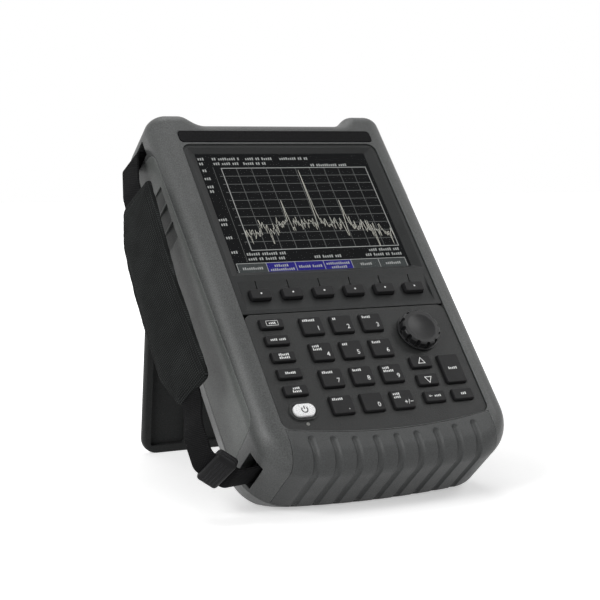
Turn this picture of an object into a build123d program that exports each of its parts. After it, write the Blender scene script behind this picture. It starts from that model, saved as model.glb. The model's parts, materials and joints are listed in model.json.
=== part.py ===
"""Handheld microwave analyzer, leaning back on its tilt stand.

The pieces are drawn with the instrument lying on its back: X to the right, Y towards the top,
Z out of the front, with the lowest edge at Y = 0 and the front of the rails at Z = 0.
Each finished piece is then stood up in its leaning stance: +Z up, the front towards -Y,
and the origin in the middle of the flat foot that the case stands on.
"""

import os
from math import cos, radians, sin, sqrt, tan

from build123d import *

# Front face, from the bottom edge up
BUMPER_HEIGHT = 24.7
PANEL_BOW = 6.8
KEYPAD_HEIGHT = 92.6
PANEL_SEAM = 0.7
SOFT_BAND = 35
SCREEN_HEIGHT = 102
BEZEL_TOP_WIDTH = 6
CROSS_BAR = 2.2
STRIP_HEIGHT = 9.8
TOP_BAND = 10
HORN_RISE = 9

# Front face, from the middle out
SCREEN_WIDTH = 136
BEZEL_SIDE_WIDTH = 9
RAIL_WIDTH = 17

# Depth of the two shells, and the stance
PARTING_DEPTH = 50
REAR_DEPTH = 22
LEAN = 42
STAND_ANGLE = 47

# Case walls and roundings
SIDE_WALL = 5
FRONT_WALL = 6
BASE_WALL = 8
SIDE_ROUND = 14
CORNER_ROUND = 34
TOP_ROUND = 10
BOTTOM_BOW = 5
REAR_INSET = 8
REAR_TOP_DROP = 8
REAR_BASE_LIFT = 12
REAR_WALL = 3
REAR_EDGE_ROUND = 5
FOOT_SETBACK = 1.5
HORN_FOOT = 56
HORN_SLOPE_RUN = 10.5
HORN_BEND = 12
HORN_BACK_SLOPE = 12
DECK_DROP = 15
DECK_WALL = 4
DECK_HALF_WIDTH = 53
LIP_THICKNESS = 13

# Clearances and cuts
SEAM = 0.3
RUNNING_FIT = 0.05
PRESS_CLEARANCE = 0.1
OVERRUN = 20

# Front panels
PANEL_RECESS = 0.8
PANEL_THICKNESS = 3.2
PANEL_LEDGE = 3
PANEL_CORNER = 6
BEVEL_SIDE = 6
BEVEL_TOP = 3.6
BEVEL_DEPTH = 2.8
TROUGH_RADIUS = 60
TROUGH_DEPTH = 1.1
TROUGH_END = 4.5
LEADER_LENGTH = 7
LEADER_WIDTH = 0.9
LEADER_DEPTH = 0.6
LEADER_DOT = 0.9
STRIP_THICKNESS = 1.2
STRIP_PROUD = 0.3
STRIP_CORNER = 3

# Display
WINDOW_MARGIN = 2
WINDOW_THICKNESS = 1.6
DISPLAY_MARGIN = 2.8
DISPLAY_THICKNESS = 7

# Keys: width, height, and place from the panel's edges
SOFT_KEY_COUNT = 6
SOFT_KEY_WIDTH = 15
SOFT_KEY_HEIGHT = 8
SOFT_KEY_RISE = 14.4
SOFT_KEY_PITCH_GAIN = 1
MENU_KEY_COUNT = 5
MENU_KEY_WIDTH = 17
MENU_KEY_HEIGHT = 7.6
MENU_KEY_INSET = 17.6
MENU_KEY_DROP = 8.6
MENU_KEY_PITCH = 12.8
NUMBER_COLUMNS = 3
NUMBER_KEY_WIDTH = 15.8
NUMBER_KEY_HEIGHT = 13.8
NUMBER_KEY_INSET = 46.3
NUMBER_KEY_DROP = 12.2
NUMBER_PITCH_X = 22.6
NUMBER_PITCH_Y = 20.3
ARROW_KEY_WIDTH = 15.8
ARROW_KEY_HEIGHT = 8.8
ARROW_KEY_INSET = 37.5
UP_KEY_DROP = 46
ARROW_PITCH = 13.8
ENTER_KEY_HEIGHT = 22.2
RIGHT_KEY_INSET = 15.6
EDIT_KEY_HEIGHT = 8.4
EDIT_KEY_DROP = 73
POWER_KEY_WIDTH = 16
POWER_KEY_HEIGHT = 9.6
POWER_KEY_INSET = 18.2
POWER_KEY_DROP = 74.6
POWER_COLLAR = 1.9
POWER_COLLAR_RISE = 1.1
LIGHT_RADIUS = 1.2
LIGHT_DROP = 84

# Key sections
KEY_GAP = 0.35
KEY_RISE = 2.4
KEY_CORNER = 1.5
KEY_DRAFT = 10
KEY_EDGE = 0.5
KEY_FLANGE = 1
KEY_FLANGE_THICKNESS = 1.2
KEY_FLANGE_GAP = 0.25
KEY_TRAVEL = 1
KEY_STOP_GAP = 0.3
MAT_THICKNESS = 1.2
BOARD_THICKNESS = 1.6
KEY_BOARD_MARGIN = 6

# Knob and its encoder
KNOB_RADIUS = 14
KNOB_HEIGHT = 7
KNOB_INSET = 29.5
KNOB_DROP = 21.8
KNOB_CLEARANCE = 0.4
KNOB_SKIRT = 1
KNOB_SKIRT_HEIGHT = 1.5
KNOB_NOTCHES = 12
KNOB_NOTCH_RADIUS = 1.6
KNOB_EDGE = 1.4
KNOB_DISH_RADIUS = 10
KNOB_DISH_DEPTH = 1.2
KNOB_STEM_RADIUS = 3
KNOB_BUSH_WALL = 1.4
ENCODER_WIDTH = 14

# Bottom bumper
BUMPER_THICKNESS = 3
BUMPER_RIM = 2
BUMPER_EDGE_GAP = 1.2
GROOVE_COUNT = 9
GROOVE_RADIUS = 3
GROOVE_DEPTH = 1.6
GROOVE_RUN = 4

# Side covers and louvres
COVER_THICKNESS = 2.4
COVER_FRONT_DEPTH = 12
COVER_FRONT_LEAN = 5
COVER_RIM = 2
COVER_BASE = 40
COVER_TOP_DROP = 28
COVER_CORNER = 10
COVER_SLANT = 6
LOUVRE_COUNT = 3
LOUVRE_LENGTH = 13.8
LOUVRE_WEB = 1.2
LOUVRE_TOP_DROP = 26
LOUVRE_RUN = 20
LOUVRE_SLOT = 2.2
LOUVRE_FRONT_DEPTH = 17

# Doors on the right side, the sockets and the battery behind them
DOOR_FRONT_DEPTH = 23
DOOR_WIDTH = 23
DOOR_CORNER = 2.5
DOOR_SPACING = 6
PORT_DOOR_LENGTH = 46
BATTERY_DOOR_BASE = 42
BATTERY_DOOR_LENGTH = 94
DOOR_PLUG = 3
DOOR_PLUG_INSET = 1.6
DOOR_GRIP_LENGTH = 12
DOOR_GRIP_DEPTH = 1
BATTERY_LENGTH = 149
BATTERY_WIDTH = 88
BATTERY_THICKNESS = 19
BATTERY_CORNER = 2
SOCKET_DEPTH = 15
SOCKET_SETBACK = 5.6
SOCKET_HEIGHT = 13
LAN_WIDTH = 15.5
USB_WIDTH = 12
POWER_JACK_WIDTH = 9
SOCKET_GAP = 2.5
SOCKET_WALL = 1
SOCKET_MOUTH = 3

# Chassis, boards and radio module
CHASSIS_GAP = 3.2
CHASSIS_THICKNESS = 2
CHASSIS_FIT = 0.4
CHASSIS_MARGIN = 12
CHASSIS_CORNER = 26
POST_MARGIN = 7
RAIL_RIB = 4
POST_RADIUS = 3
CASE_BOSS_RADIUS = 4
CASE_BOSS_INSET = 9
BOARD_STANDOFF = 4
MAIN_BOARD_MARGIN = 4
MAIN_BOARD_GAP = 6
RF_MODULE_WIDTH = 120
RF_MODULE_HEIGHT = 62
RF_MODULE_DEPTH = 34
RF_MODULE_DROP = 7

# Coaxial ports on the top deck
PORT_DEPTH = 34
BIG_PORT_SPACING = 64
BIG_PORT_RADIUS = 7.9
BIG_PORT_LENGTH = 14
BIG_PORT_BORE = 4.6
BIG_PORT_FLANGE = 17.5
BIG_PORT_STUB = 6
SMALL_PORT_SPACING = 14
SMALL_PORT_RADIUS = 3.1
SMALL_PORT_LENGTH = 9
SMALL_PORT_BORE = 2.1
SMALL_PORT_FLANGE = 9
SMALL_PORT_STUB = 2.5
PORT_FLANGE_THICKNESS = 2
PORT_FLANGE_CORNER = 1
PORT_BORE_SHARE = 0.6
PORT_PIN_RADIUS = 0.8

# Gasket and screws
GASKET_INSET = 1.6
GASKET_WIDTH = 2
GASKET_DEPTH = 1.2
SCREW_RADIUS = 2
SCREW_HEAD_RADIUS = 4
SCREW_HEAD = 2.4
SCREW_BITE = 14
SCREW_TOP_INSET = 28
SCREW_TOP_DROP = 23.5
SCREW_LOW_X = 60
SCREW_LOW_Y = 33
SCREW_BLOCK_WIDTH = 11
SCREW_BLOCK_DEPTH = 18
SCREW_POST_RADIUS = 6
SCREW_SINK = 0.6
SCREW_RECESS = 1.6
SCREW_RECESS_DEPTH = 1.4

# Tilt stand
STAND_HINGE_DROP = 33
STAND_THICKNESS = 6
STAND_SIDE_GAP = 1
STAND_RIM = 3
STAND_CORNER = 12
STAND_EDGE = 2
STAND_POCKET_DEPTH = 4
STAND_BORDER = 6
STAND_RIB = 3
STAND_POCKETS = 5
STAND_POCKET_CORNER = 2
STAND_HINGE_BAND = 12
STAND_FLOOR_GAP = 0.5
STAND_END_GAP = 2
STAND_PIN_RADIUS = 2
EAR_WIDTH = 8
EAR_INSET = 16
PIN_OVERHANG = 7

# Hand strap
STRAP_DEPTH = 33
STRAP_TILT = 12
WEBBING_WIDTH = 22
WEBBING_THICKNESS = 1.8
WEBBING_BEND = 7
BAR_RADIUS = 2
BAR_GRIP = 2
BAR_INSET = 8
BAR_TOP_DROP = 15
BAR_LOW_Y = 24
BAR_LOW_INSET = 11.7
POCKET_RADIUS = 6
POCKET_DROP = 1.5
POCKET_SIDE_GAP = 1
STRAP_BOSS_RADIUS = 11
PAD_STANDOFF = 23
PAD_TOP_STANDOFF = 16
PAD_WIDTH = 46
PAD_CROWN = 9
PAD_EDGE = 4
PAD_TOP_DROP = 55
PAD_LENGTH = 160
PAD_TAPER_LENGTH = 26
PAD_TAPER_WIDTH = 10.5
PAD_CORNER = 1.6
PAD_BEND = 400
PAD_LEAD = 8
PAD_TOP_BEND = 25
PAD_LOW_BEND = 40
PAD_SLOT_GAP = 0.3
LOOP_STANDOFF = 30
LOOP_TOP_Y = 52
LOOP_LOW_Y = 29
LOOP_TURN_STANDOFF = 13
LOOP_TURN_Y = 16.5
BUCKLE_LENGTH = 14
BUCKLE_WALL = 2.4
BUCKLE_RIBS = 5
BUCKLE_RIB_DEPTH = 0.7
BUCKLE_RIB_SHARE = 0.5

# Places worked out from the sizes above
panel_half = SCREEN_WIDTH / 2 + BEZEL_SIDE_WIDTH
half_width = panel_half + RAIL_WIDTH
keypad_top = BUMPER_HEIGHT + KEYPAD_HEIGHT
bezel_base = keypad_top + PANEL_SEAM
screen_base = bezel_base + SOFT_BAND
screen_middle = screen_base + SCREEN_HEIGHT / 2
bezel_top = screen_base + SCREEN_HEIGHT + BEZEL_TOP_WIDTH
strip_base = bezel_top + CROSS_BAR
top_edge = strip_base + STRIP_HEIGHT + TOP_BAND
body_height = top_edge + HORN_RISE
body_depth = PARTING_DEPTH + REAR_DEPTH
deck_level = top_edge - DECK_DROP
cavity_top = deck_level - DECK_WALL
cavity_half = half_width - SIDE_WALL

panel_front = -PANEL_RECESS
panel_back = panel_front - PANEL_THICKNESS
window_back = panel_back - WINDOW_THICKNESS
display_back = window_back - DISPLAY_THICKNESS
flange_top = panel_back - KEY_FLANGE_GAP
flange_base = flange_top - KEY_FLANGE_THICKNESS
mat_front = flange_base - KEY_TRAVEL - KEY_STOP_GAP
board_front = mat_front - MAT_THICKNESS
board_back = board_front - BOARD_THICKNESS
chassis_front = display_back - CHASSIS_GAP
chassis_back = chassis_front - CHASSIS_THICKNESS
main_board_front = chassis_back - BOARD_STANDOFF
main_board_back = main_board_front - BOARD_THICKNESS

cover_top = body_height - COVER_TOP_DROP
cover_inner_x = half_width - COVER_THICKNESS
battery_middle = BATTERY_DOOR_BASE + BATTERY_DOOR_LENGTH / 2
port_door_base = BATTERY_DOOR_BASE + BATTERY_DOOR_LENGTH + DOOR_SPACING
main_board_base = battery_middle + BATTERY_WIDTH / 2 + MAIN_BOARD_GAP
battery_end = cover_inner_x - DOOR_PLUG - SEAM

knob_x = panel_half - KNOB_INSET
knob_y = keypad_top - KNOB_DROP
power_x = POWER_KEY_INSET - panel_half
power_y = keypad_top - POWER_KEY_DROP
light_y = keypad_top - LIGHT_DROP

foot_depth = PARTING_DEPTH + FOOT_SETBACK
foot_middle_depth = (foot_depth + body_depth) / 2
foot_middle_y = (foot_middle_depth - foot_depth) * tan(radians(LEAN))
stance = Location((0, 0, 0), (90 - LEAN, 0, 0)) * Location((0, -foot_middle_y, foot_middle_depth))

stand_barrel = STAND_THICKNESS / 2
hinge_y = top_edge - STAND_HINGE_DROP
hinge_z = stand_barrel - body_depth
hinge_lift = hinge_y * cos(radians(LEAN)) + (hinge_z + foot_depth) * sin(radians(LEAN))
stand_slant = radians(STAND_ANGLE - LEAN)
stand_drop = hinge_lift - STAND_EDGE - (stand_barrel - STAND_EDGE) * sin(stand_slant)
stand_length = STAND_EDGE + stand_drop / cos(stand_slant)
stand_tip = hinge_y - stand_length
stand_half = half_width - REAR_INSET - STAND_RIM - STAND_SIDE_GAP
recess_floor = hinge_z + stand_barrel + STAND_FLOOR_GAP
rear_floor = recess_floor + REAR_WALL
ear_x = stand_half - EAR_INSET

strap_plane = Plane(
    origin=(-half_width, 0, -STRAP_DEPTH),
    x_dir=(cos(radians(STRAP_TILT)), 0, -sin(radians(STRAP_TILT))),
    z_dir=(sin(radians(STRAP_TILT)), 0, cos(radians(STRAP_TILT))),
)
bar_top = (BAR_INSET, body_height - BAR_TOP_DROP)
bar_low = (BAR_LOW_INSET, BAR_LOW_Y)
loop_radius = BAR_RADIUS + PAD_SLOT_GAP + WEBBING_THICKNESS / 2
pad_top = body_height - PAD_TOP_DROP
pad_base = pad_top - PAD_LENGTH
pad_middle = (pad_top + pad_base) / 2
webbing_points = [
    (BAR_INSET, bar_top[1] - loop_radius),
    (-BAR_INSET, bar_top[1] - loop_radius),
    (-PAD_TOP_STANDOFF, pad_top + PAD_LEAD),
    (-PAD_STANDOFF, pad_middle),
    (-PAD_STANDOFF - PAD_SLOT_GAP, pad_base - PAD_LEAD),
    (-LOOP_STANDOFF, LOOP_TOP_Y),
    (-LOOP_STANDOFF, LOOP_LOW_Y),
    (-LOOP_TURN_STANDOFF, LOOP_TURN_Y),
    (BAR_LOW_INSET, BAR_LOW_Y - loop_radius),
]
webbing_bends = [
    WEBBING_BEND, PAD_TOP_BEND, PAD_BEND, PAD_LOW_BEND, PAD_LOW_BEND, WEBBING_BEND, WEBBING_BEND,
]

os.makedirs("parts", exist_ok=True)


def hand_in(name, piece):
    """Stand a finished piece up in the instrument's stance, label it and write it."""
    placed = piece.moved(stance)
    placed.label = name
    export_step(placed, f"parts/{name}.step")


def case_outline(inset, base, top, corner, top_corner):
    """Front view of the case: bowed bottom, rounded lower corners, plain top."""
    side = half_width - inset
    with BuildSketch() as outline:
        with BuildLine():
            ThreePointArc((-side, base + BOTTOM_BOW), (0, base), (side, base + BOTTOM_BOW))
            FilletPolyline(
                (side, base + BOTTOM_BOW), (side, top), (-side, top), (-side, base + BOTTOM_BOW),
                radius=[top_corner, top_corner],
            )
        make_face()
        fillet(outline.vertices().group_by(Axis.Y)[0], corner)
    return outline.sketch


def horned_outline():
    """Front view of the whole case, with a horn on each upper corner."""
    crest = HORN_FOOT + HORN_SLOPE_RUN
    with BuildSketch() as outline:
        with BuildLine():
            ThreePointArc((-half_width, BOTTOM_BOW), (0, 0), (half_width, BOTTOM_BOW))
            FilletPolyline(
                (half_width, BOTTOM_BOW), (half_width, body_height), (crest, body_height),
                (HORN_FOOT, top_edge), (-HORN_FOOT, top_edge), (-crest, body_height),
                (-half_width, body_height), (-half_width, BOTTOM_BOW),
                radius=[0, HORN_BEND, HORN_BEND, HORN_BEND, HORN_BEND, 0],
            )
        make_face()
        fillet(outline.vertices().group_by(Axis.Y)[0], CORNER_ROUND)
    return outline.sketch


def front_form(outline, depth_inset, side_round):
    """The front half of the case as a solid, with its side and lower edges rounded."""
    with BuildPart() as form:
        with BuildSketch(Plane.XY.offset(-PARTING_DEPTH)):
            add(outline)
        extrude(amount=PARTING_DEPTH - depth_inset)
        rim = form.edges().group_by(Axis.Z)[-1]
        fillet(rim.filter_by_position(Axis.Y, 0, cavity_top - DECK_WALL), side_round)
    return form.part


def inset_form(inset):
    """The plain front half of the case, drawn in by an even inset."""
    outline = case_outline(inset, inset, body_height, CORNER_ROUND - inset, 0)
    return front_form(outline, inset, SIDE_ROUND - inset)


def panel_outline(inset, top):
    """Front view of the panel opening: straight sides and top, bowed lower edge."""
    side = panel_half - inset
    low = BUMPER_HEIGHT + inset
    with BuildSketch() as outline:
        with BuildLine():
            ThreePointArc((-side, low + PANEL_BOW), (0, low), (side, low + PANEL_BOW))
            Polyline((side, low + PANEL_BOW), (side, top), (-side, top), (-side, low + PANEL_BOW))
        make_face()
        fillet(outline.vertices(), PANEL_CORNER - inset)
    return outline.sketch


def bumper_outline(inset):
    """Front view of the bumper, under the panel's bowed lower edge."""
    side = panel_half - BUMPER_EDGE_GAP - inset
    top = BUMPER_HEIGHT - BUMPER_EDGE_GAP - inset
    with BuildSketch() as outline:
        with BuildLine():
            ThreePointArc((side, top + PANEL_BOW), (0, top), (-side, top + PANEL_BOW))
            Polyline((-side, top + PANEL_BOW), (-side, -OVERRUN), (side, -OVERRUN), (side, top + PANEL_BOW))
        make_face()
    return outline.sketch


def cover_outline(inset):
    """Side view of a side cover, with Y along the sketch's first axis and Z along its second."""
    front = -COVER_FRONT_DEPTH - inset
    rear = COVER_RIM + inset - PARTING_DEPTH
    top = cover_top - inset
    base = COVER_BASE + inset
    with BuildSketch() as outline:
        with BuildLine():
            FilletPolyline(
                (base, front + COVER_FRONT_LEAN), (top, front),
                (top + COVER_SLANT, rear), (base - COVER_SLANT, rear),
                radius=[COVER_CORNER, COVER_CORNER, 0, 0],
                close=True,
            )
        make_face()
    return outline.sketch


def door_outline(base, length, inset):
    """Side view of a door, with Y along the sketch's first axis and Z along its second."""
    middle = (base + length / 2, -DOOR_FRONT_DEPTH - DOOR_WIDTH / 2)
    with BuildSketch() as outline:
        with Locations(middle):
            RectangleRounded(length - 2 * inset, DOOR_WIDTH - 2 * inset, DOOR_CORNER)
    return outline.sketch


# Key places, worked out from the panel's edges
soft_pitch = SCREEN_WIDTH / SOFT_KEY_COUNT + SOFT_KEY_PITCH_GAIN
soft_y = bezel_base + SOFT_KEY_RISE
arrow_x = panel_half - ARROW_KEY_INSET
right_x = panel_half - RIGHT_KEY_INSET
up_y = keypad_top - UP_KEY_DROP
edit_y = keypad_top - EDIT_KEY_DROP
number_names = ["1", "2", "3", "4", "5", "6", "7", "8", "9"]

soft_keys = []
for place in range(SOFT_KEY_COUNT):
    soft_x = (place - (SOFT_KEY_COUNT - 1) / 2) * soft_pitch
    soft_keys.append((f"soft_key_{place + 1}", soft_x, soft_y, SOFT_KEY_WIDTH, SOFT_KEY_HEIGHT))

panel_keys = []
for place in range(MENU_KEY_COUNT):
    menu_y = keypad_top - MENU_KEY_DROP - place * MENU_KEY_PITCH
    menu_x = MENU_KEY_INSET - panel_half
    panel_keys.append((f"menu_key_{place + 1}", menu_x, menu_y, MENU_KEY_WIDTH, MENU_KEY_HEIGHT))
number_keys = [f"number_key_{digit}" for digit in number_names]
number_keys += ["point_key", "number_key_0", "sign_key"]
for place, name in enumerate(number_keys):
    number_x = NUMBER_KEY_INSET - panel_half + (place % NUMBER_COLUMNS) * NUMBER_PITCH_X
    number_y = keypad_top - NUMBER_KEY_DROP - (place // NUMBER_COLUMNS) * NUMBER_PITCH_Y
    panel_keys.append((name, number_x, number_y, NUMBER_KEY_WIDTH, NUMBER_KEY_HEIGHT))
panel_keys.append(("up_key", arrow_x, up_y, ARROW_KEY_WIDTH, ARROW_KEY_HEIGHT))
panel_keys.append(("down_key", arrow_x, up_y - ARROW_PITCH, ARROW_KEY_WIDTH, ARROW_KEY_HEIGHT))
panel_keys.append(("enter_key", right_x, up_y - ARROW_PITCH / 2, ARROW_KEY_WIDTH, ENTER_KEY_HEIGHT))
panel_keys.append(("back_key", arrow_x, edit_y, ARROW_KEY_WIDTH, EDIT_KEY_HEIGHT))
panel_keys.append(("cancel_key", right_x, edit_y, ARROW_KEY_WIDTH, EDIT_KEY_HEIGHT))

# Forms that several pieces share
outer_form = inset_form(0)
cover_seat = inset_form(COVER_THICKNESS)
bumper_seat = inset_form(BUMPER_THICKNESS)

# Round grooves that run down the bumper and under it, evenly spaced between its ends
groove_pitch = 2 * (panel_half - BUMPER_EDGE_GAP) / (GROOVE_COUNT + 1)
groove_rise = GROOVE_RADIUS - GROOVE_DEPTH
with BuildPart() as groove_cuts:
    for place in range(GROOVE_COUNT):
        groove_x = (place - (GROOVE_COUNT - 1) / 2) * groove_pitch
        groove_base = BOTTOM_BOW * (groove_x / half_width) ** 2
        groove_top = SIDE_ROUND + GROOVE_RUN + PANEL_BOW * (groove_x / panel_half) ** 2
        groove_turn = groove_base + SIDE_ROUND
        with BuildLine(Plane.YZ.offset(groove_x)) as groove_path:
            groove_fall = Line((groove_top, groove_rise), (groove_turn, groove_rise))
            CenterArc((groove_turn, -SIDE_ROUND), SIDE_ROUND + groove_rise, 90, 90)
            Line((groove_base - groove_rise, -SIDE_ROUND), (groove_base - groove_rise, -body_depth))
        with BuildSketch(Plane(origin=groove_fall @ 0, z_dir=groove_fall % 0)):
            Circle(GROOVE_RADIUS)
        sweep(path=groove_path.line)
        with Locations(groove_fall @ 0):
            Sphere(GROOVE_RADIUS)

# Horned front half, with its top edge rounded all the way round
with BuildPart() as horned_form:
    add(front_form(horned_outline(), 0, SIDE_ROUND))
    front_rim = horned_form.edges().group_by(Axis.Z)[-1]
    fillet(front_rim.filter_by_position(Axis.Y, top_edge - HORN_RISE, body_height), TOP_ROUND)

# Hollow inside the front half
cavity_outline = case_outline(SIDE_WALL, BASE_WALL, cavity_top, CORNER_ROUND - SIDE_WALL, 0)
with BuildPart() as front_cavity:
    with BuildSketch(Plane.XY.offset(-PARTING_DEPTH)):
        add(cavity_outline)
    extrude(amount=PARTING_DEPTH - FRONT_WALL)
    cavity_rim = front_cavity.edges().group_by(Axis.Z)[-1]
    fillet(cavity_rim.sort_by(Axis.Y)[:-1], SIDE_ROUND - SIDE_WALL)

# Seats that the covers and the bumper lie in, a seam wider than the pieces
with BuildPart() as cover_pocket:
    with BuildSketch(Plane.YZ.offset(-half_width - OVERRUN)):
        add(cover_outline(-SEAM))
    extrude(amount=half_width)
    add(cover_seat, mode=Mode.SUBTRACT)
    mirror(about=Plane.YZ)

with BuildPart() as bumper_pocket:
    with BuildSketch(Plane.XY.offset(BUMPER_RIM - SEAM - PARTING_DEPTH)):
        add(bumper_outline(-SEAM))
    extrude(amount=PARTING_DEPTH + OVERRUN)
    add(bumper_seat, mode=Mode.SUBTRACT)

# Round each strap bar: a boss in the lower corner, and a pocket that opens to the side
with BuildPart() as strap_boss:
    with BuildSketch(strap_plane):
        with Locations(bar_low):
            Circle(STRAP_BOSS_RADIUS)
    extrude(amount=WEBBING_WIDTH / 2 + POCKET_SIDE_GAP + BAR_GRIP, both=True)
    add(outer_form, mode=Mode.INTERSECT)

with BuildPart() as strap_pockets:
    for bar in (bar_top, bar_low):
        with BuildSketch(strap_plane):
            with Locations(bar):
                Circle(POCKET_RADIUS)
            with Locations((bar[0] - OVERRUN / 2, bar[1] - POCKET_DROP)):
                Rectangle(OVERRUN, 2 * POCKET_RADIUS)
        extrude(amount=WEBBING_WIDTH / 2 + POCKET_SIDE_GAP, both=True)
        with BuildSketch(strap_plane):
            with Locations(bar):
                Circle(BAR_RADIUS + PRESS_CLEARANCE)
        extrude(amount=WEBBING_WIDTH / 2 + POCKET_SIDE_GAP + BAR_GRIP + PRESS_CLEARANCE, both=True)

# Slots through both side walls, at the front of the louvres
louvre_places = [
    cover_top - LOUVRE_TOP_DROP - LOUVRE_LENGTH - place * (LOUVRE_LENGTH + LOUVRE_WEB)
    for place in range(LOUVRE_COUNT)
]
with BuildPart() as vent_slots:
    for place in louvre_places:
        with BuildSketch(Plane.XZ.offset(-place)):
            with Locations((-half_width, -LOUVRE_FRONT_DEPTH - LOUVRE_SLOT / 2)):
                Rectangle(4 * SIDE_WALL, LOUVRE_SLOT)
        extrude(amount=-LOUVRE_LENGTH)
    mirror(about=Plane.YZ)

# Front shell
screw_top_x = half_width - SCREW_TOP_INSET
screw_top_y = top_edge - SCREW_TOP_DROP
screw_places = [
    (-screw_top_x, screw_top_y), (screw_top_x, screw_top_y),
    (-SCREW_LOW_X, SCREW_LOW_Y), (SCREW_LOW_X, SCREW_LOW_Y),
]
low_block_y = (SCREW_LOW_Y + BASE_WALL) / 2
top_block_base = screw_top_y - SCREW_BLOCK_WIDTH / 2
top_block_height = cavity_top + DECK_WALL / 2 - top_block_base
top_block_y = top_block_base + top_block_height / 2
big_ports = [(-BIG_PORT_SPACING / 2, -PORT_DEPTH), (BIG_PORT_SPACING / 2, -PORT_DEPTH)]
small_ports = [(-SMALL_PORT_SPACING, -PORT_DEPTH), (0, -PORT_DEPTH), (SMALL_PORT_SPACING, -PORT_DEPTH)]
boss_x = cavity_half - CASE_BOSS_INSET
boss_places = [(side * boss_x, y) for side in (-1, 1) for y in (battery_middle, screen_middle)]
with BuildPart() as front_case:
    add(horned_form.part)
    add(front_cavity.part, mode=Mode.SUBTRACT)
    add(strap_boss.part)
    # Bosses for the chassis, and blocks on the bottom wall and under the deck for the screws
    with BuildSketch(Plane.XY.offset(chassis_front)):
        with Locations(*boss_places):
            Circle(CASE_BOSS_RADIUS)
    extrude(amount=-chassis_front - FRONT_WALL)
    with BuildSketch(Plane.XY.offset(-PARTING_DEPTH)):
        with Locations((-SCREW_LOW_X, low_block_y), (SCREW_LOW_X, low_block_y)):
            Rectangle(SCREW_BLOCK_WIDTH, SCREW_LOW_Y)
        with Locations((-screw_top_x, top_block_y), (screw_top_x, top_block_y)):
            Rectangle(SCREW_BLOCK_WIDTH, top_block_height)
    extrude(amount=SCREW_BLOCK_DEPTH)
    # Deck for the ports, behind the front lip and between the horns
    with BuildSketch(Plane.XY.offset(-LIP_THICKNESS)):
        with Locations((0, deck_level + OVERRUN)):
            Rectangle(2 * DECK_HALF_WIDTH, 2 * OVERRUN)
    extrude(amount=-PARTING_DEPTH, mode=Mode.SUBTRACT)
    with BuildSketch(Plane.XZ.offset(-deck_level)):
        with Locations(*big_ports):
            Circle(BIG_PORT_STUB + PRESS_CLEARANCE)
        with Locations(*small_ports):
            Circle(SMALL_PORT_STUB + PRESS_CLEARANCE)
    extrude(amount=2 * DECK_WALL, mode=Mode.SUBTRACT)
    # Horns slope down to the rear shell
    with BuildSketch(Plane.YZ.offset(-half_width)):
        with BuildLine():
            Polyline(
                (body_height, HORN_BACK_SLOPE - PARTING_DEPTH), (top_edge, -PARTING_DEPTH),
                (top_edge, -PARTING_DEPTH - OVERRUN), (body_height, -PARTING_DEPTH - OVERRUN),
                close=True,
            )
        make_face()
    extrude(amount=2 * half_width, mode=Mode.SUBTRACT)
    # Panel opening with a ledge round it, and the seat of the name strip
    with BuildSketch(Plane.XY.offset(panel_back)):
        add(panel_outline(-SEAM, bezel_top + SEAM))
    extrude(amount=OVERRUN, mode=Mode.SUBTRACT)
    with BuildSketch(Plane.XY.offset(-FRONT_WALL - SEAM)):
        add(panel_outline(PANEL_LEDGE, bezel_top - PANEL_LEDGE))
        with Locations((power_x, light_y)):
            Circle(LIGHT_RADIUS + PRESS_CLEARANCE)
    extrude(amount=OVERRUN, mode=Mode.SUBTRACT)
    with BuildSketch(Plane.XY.offset(STRIP_PROUD - STRIP_THICKNESS)):
        with Locations((0, strip_base + STRIP_HEIGHT / 2)):
            RectangleRounded(2 * (panel_half + SEAM), STRIP_HEIGHT + 2 * SEAM, STRIP_CORNER)
    extrude(amount=OVERRUN, mode=Mode.SUBTRACT)
    # Seats in the sides and the bottom
    add(cover_pocket.part, mode=Mode.SUBTRACT)
    add(bumper_pocket.part, mode=Mode.SUBTRACT)
    add(groove_cuts.part, mode=Mode.SUBTRACT)
    add(strap_pockets.part, mode=Mode.SUBTRACT)
    add(vent_slots.part, mode=Mode.SUBTRACT)
    # Ways through the right wall for the battery and the sockets
    with BuildSketch(Plane.YZ.offset(half_width - SIDE_WALL - SEAM)):
        add(door_outline(BATTERY_DOOR_BASE, BATTERY_DOOR_LENGTH, DOOR_PLUG_INSET - SEAM))
        add(door_outline(port_door_base, PORT_DOOR_LENGTH, DOOR_PLUG_INSET - SEAM))
    extrude(amount=OVERRUN, mode=Mode.SUBTRACT)
    # Holes for the case screws
    with BuildSketch(Plane.XY.offset(-PARTING_DEPTH)):
        with Locations(*screw_places):
            Circle(SCREW_RADIUS + PRESS_CLEARANCE)
    extrude(amount=SCREW_BITE, mode=Mode.SUBTRACT)
hand_in("front_case", front_case.part)

# Seal between the shells
gasket_far = GASKET_INSET + GASKET_WIDTH


def gasket_outline(spread):
    """Front view of the seal's ring, spread by a clearance on both sides."""
    near = GASKET_INSET - spread
    far = gasket_far + spread
    crown = cavity_top + (DECK_WALL + GASKET_WIDTH) / 2 + spread
    root = cavity_top + (DECK_WALL - GASKET_WIDTH) / 2 - spread
    with BuildSketch() as ring:
        add(case_outline(near, near, crown, CORNER_ROUND - near, 0))
        add(case_outline(far, far, root, CORNER_ROUND - far, 0), mode=Mode.SUBTRACT)
    return ring.sketch


with BuildPart() as case_gasket:
    with BuildSketch(Plane.XY.offset(-PARTING_DEPTH)):
        add(gasket_outline(0))
    extrude(amount=-GASKET_DEPTH)
hand_in("case_gasket", case_gasket.part)

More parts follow.
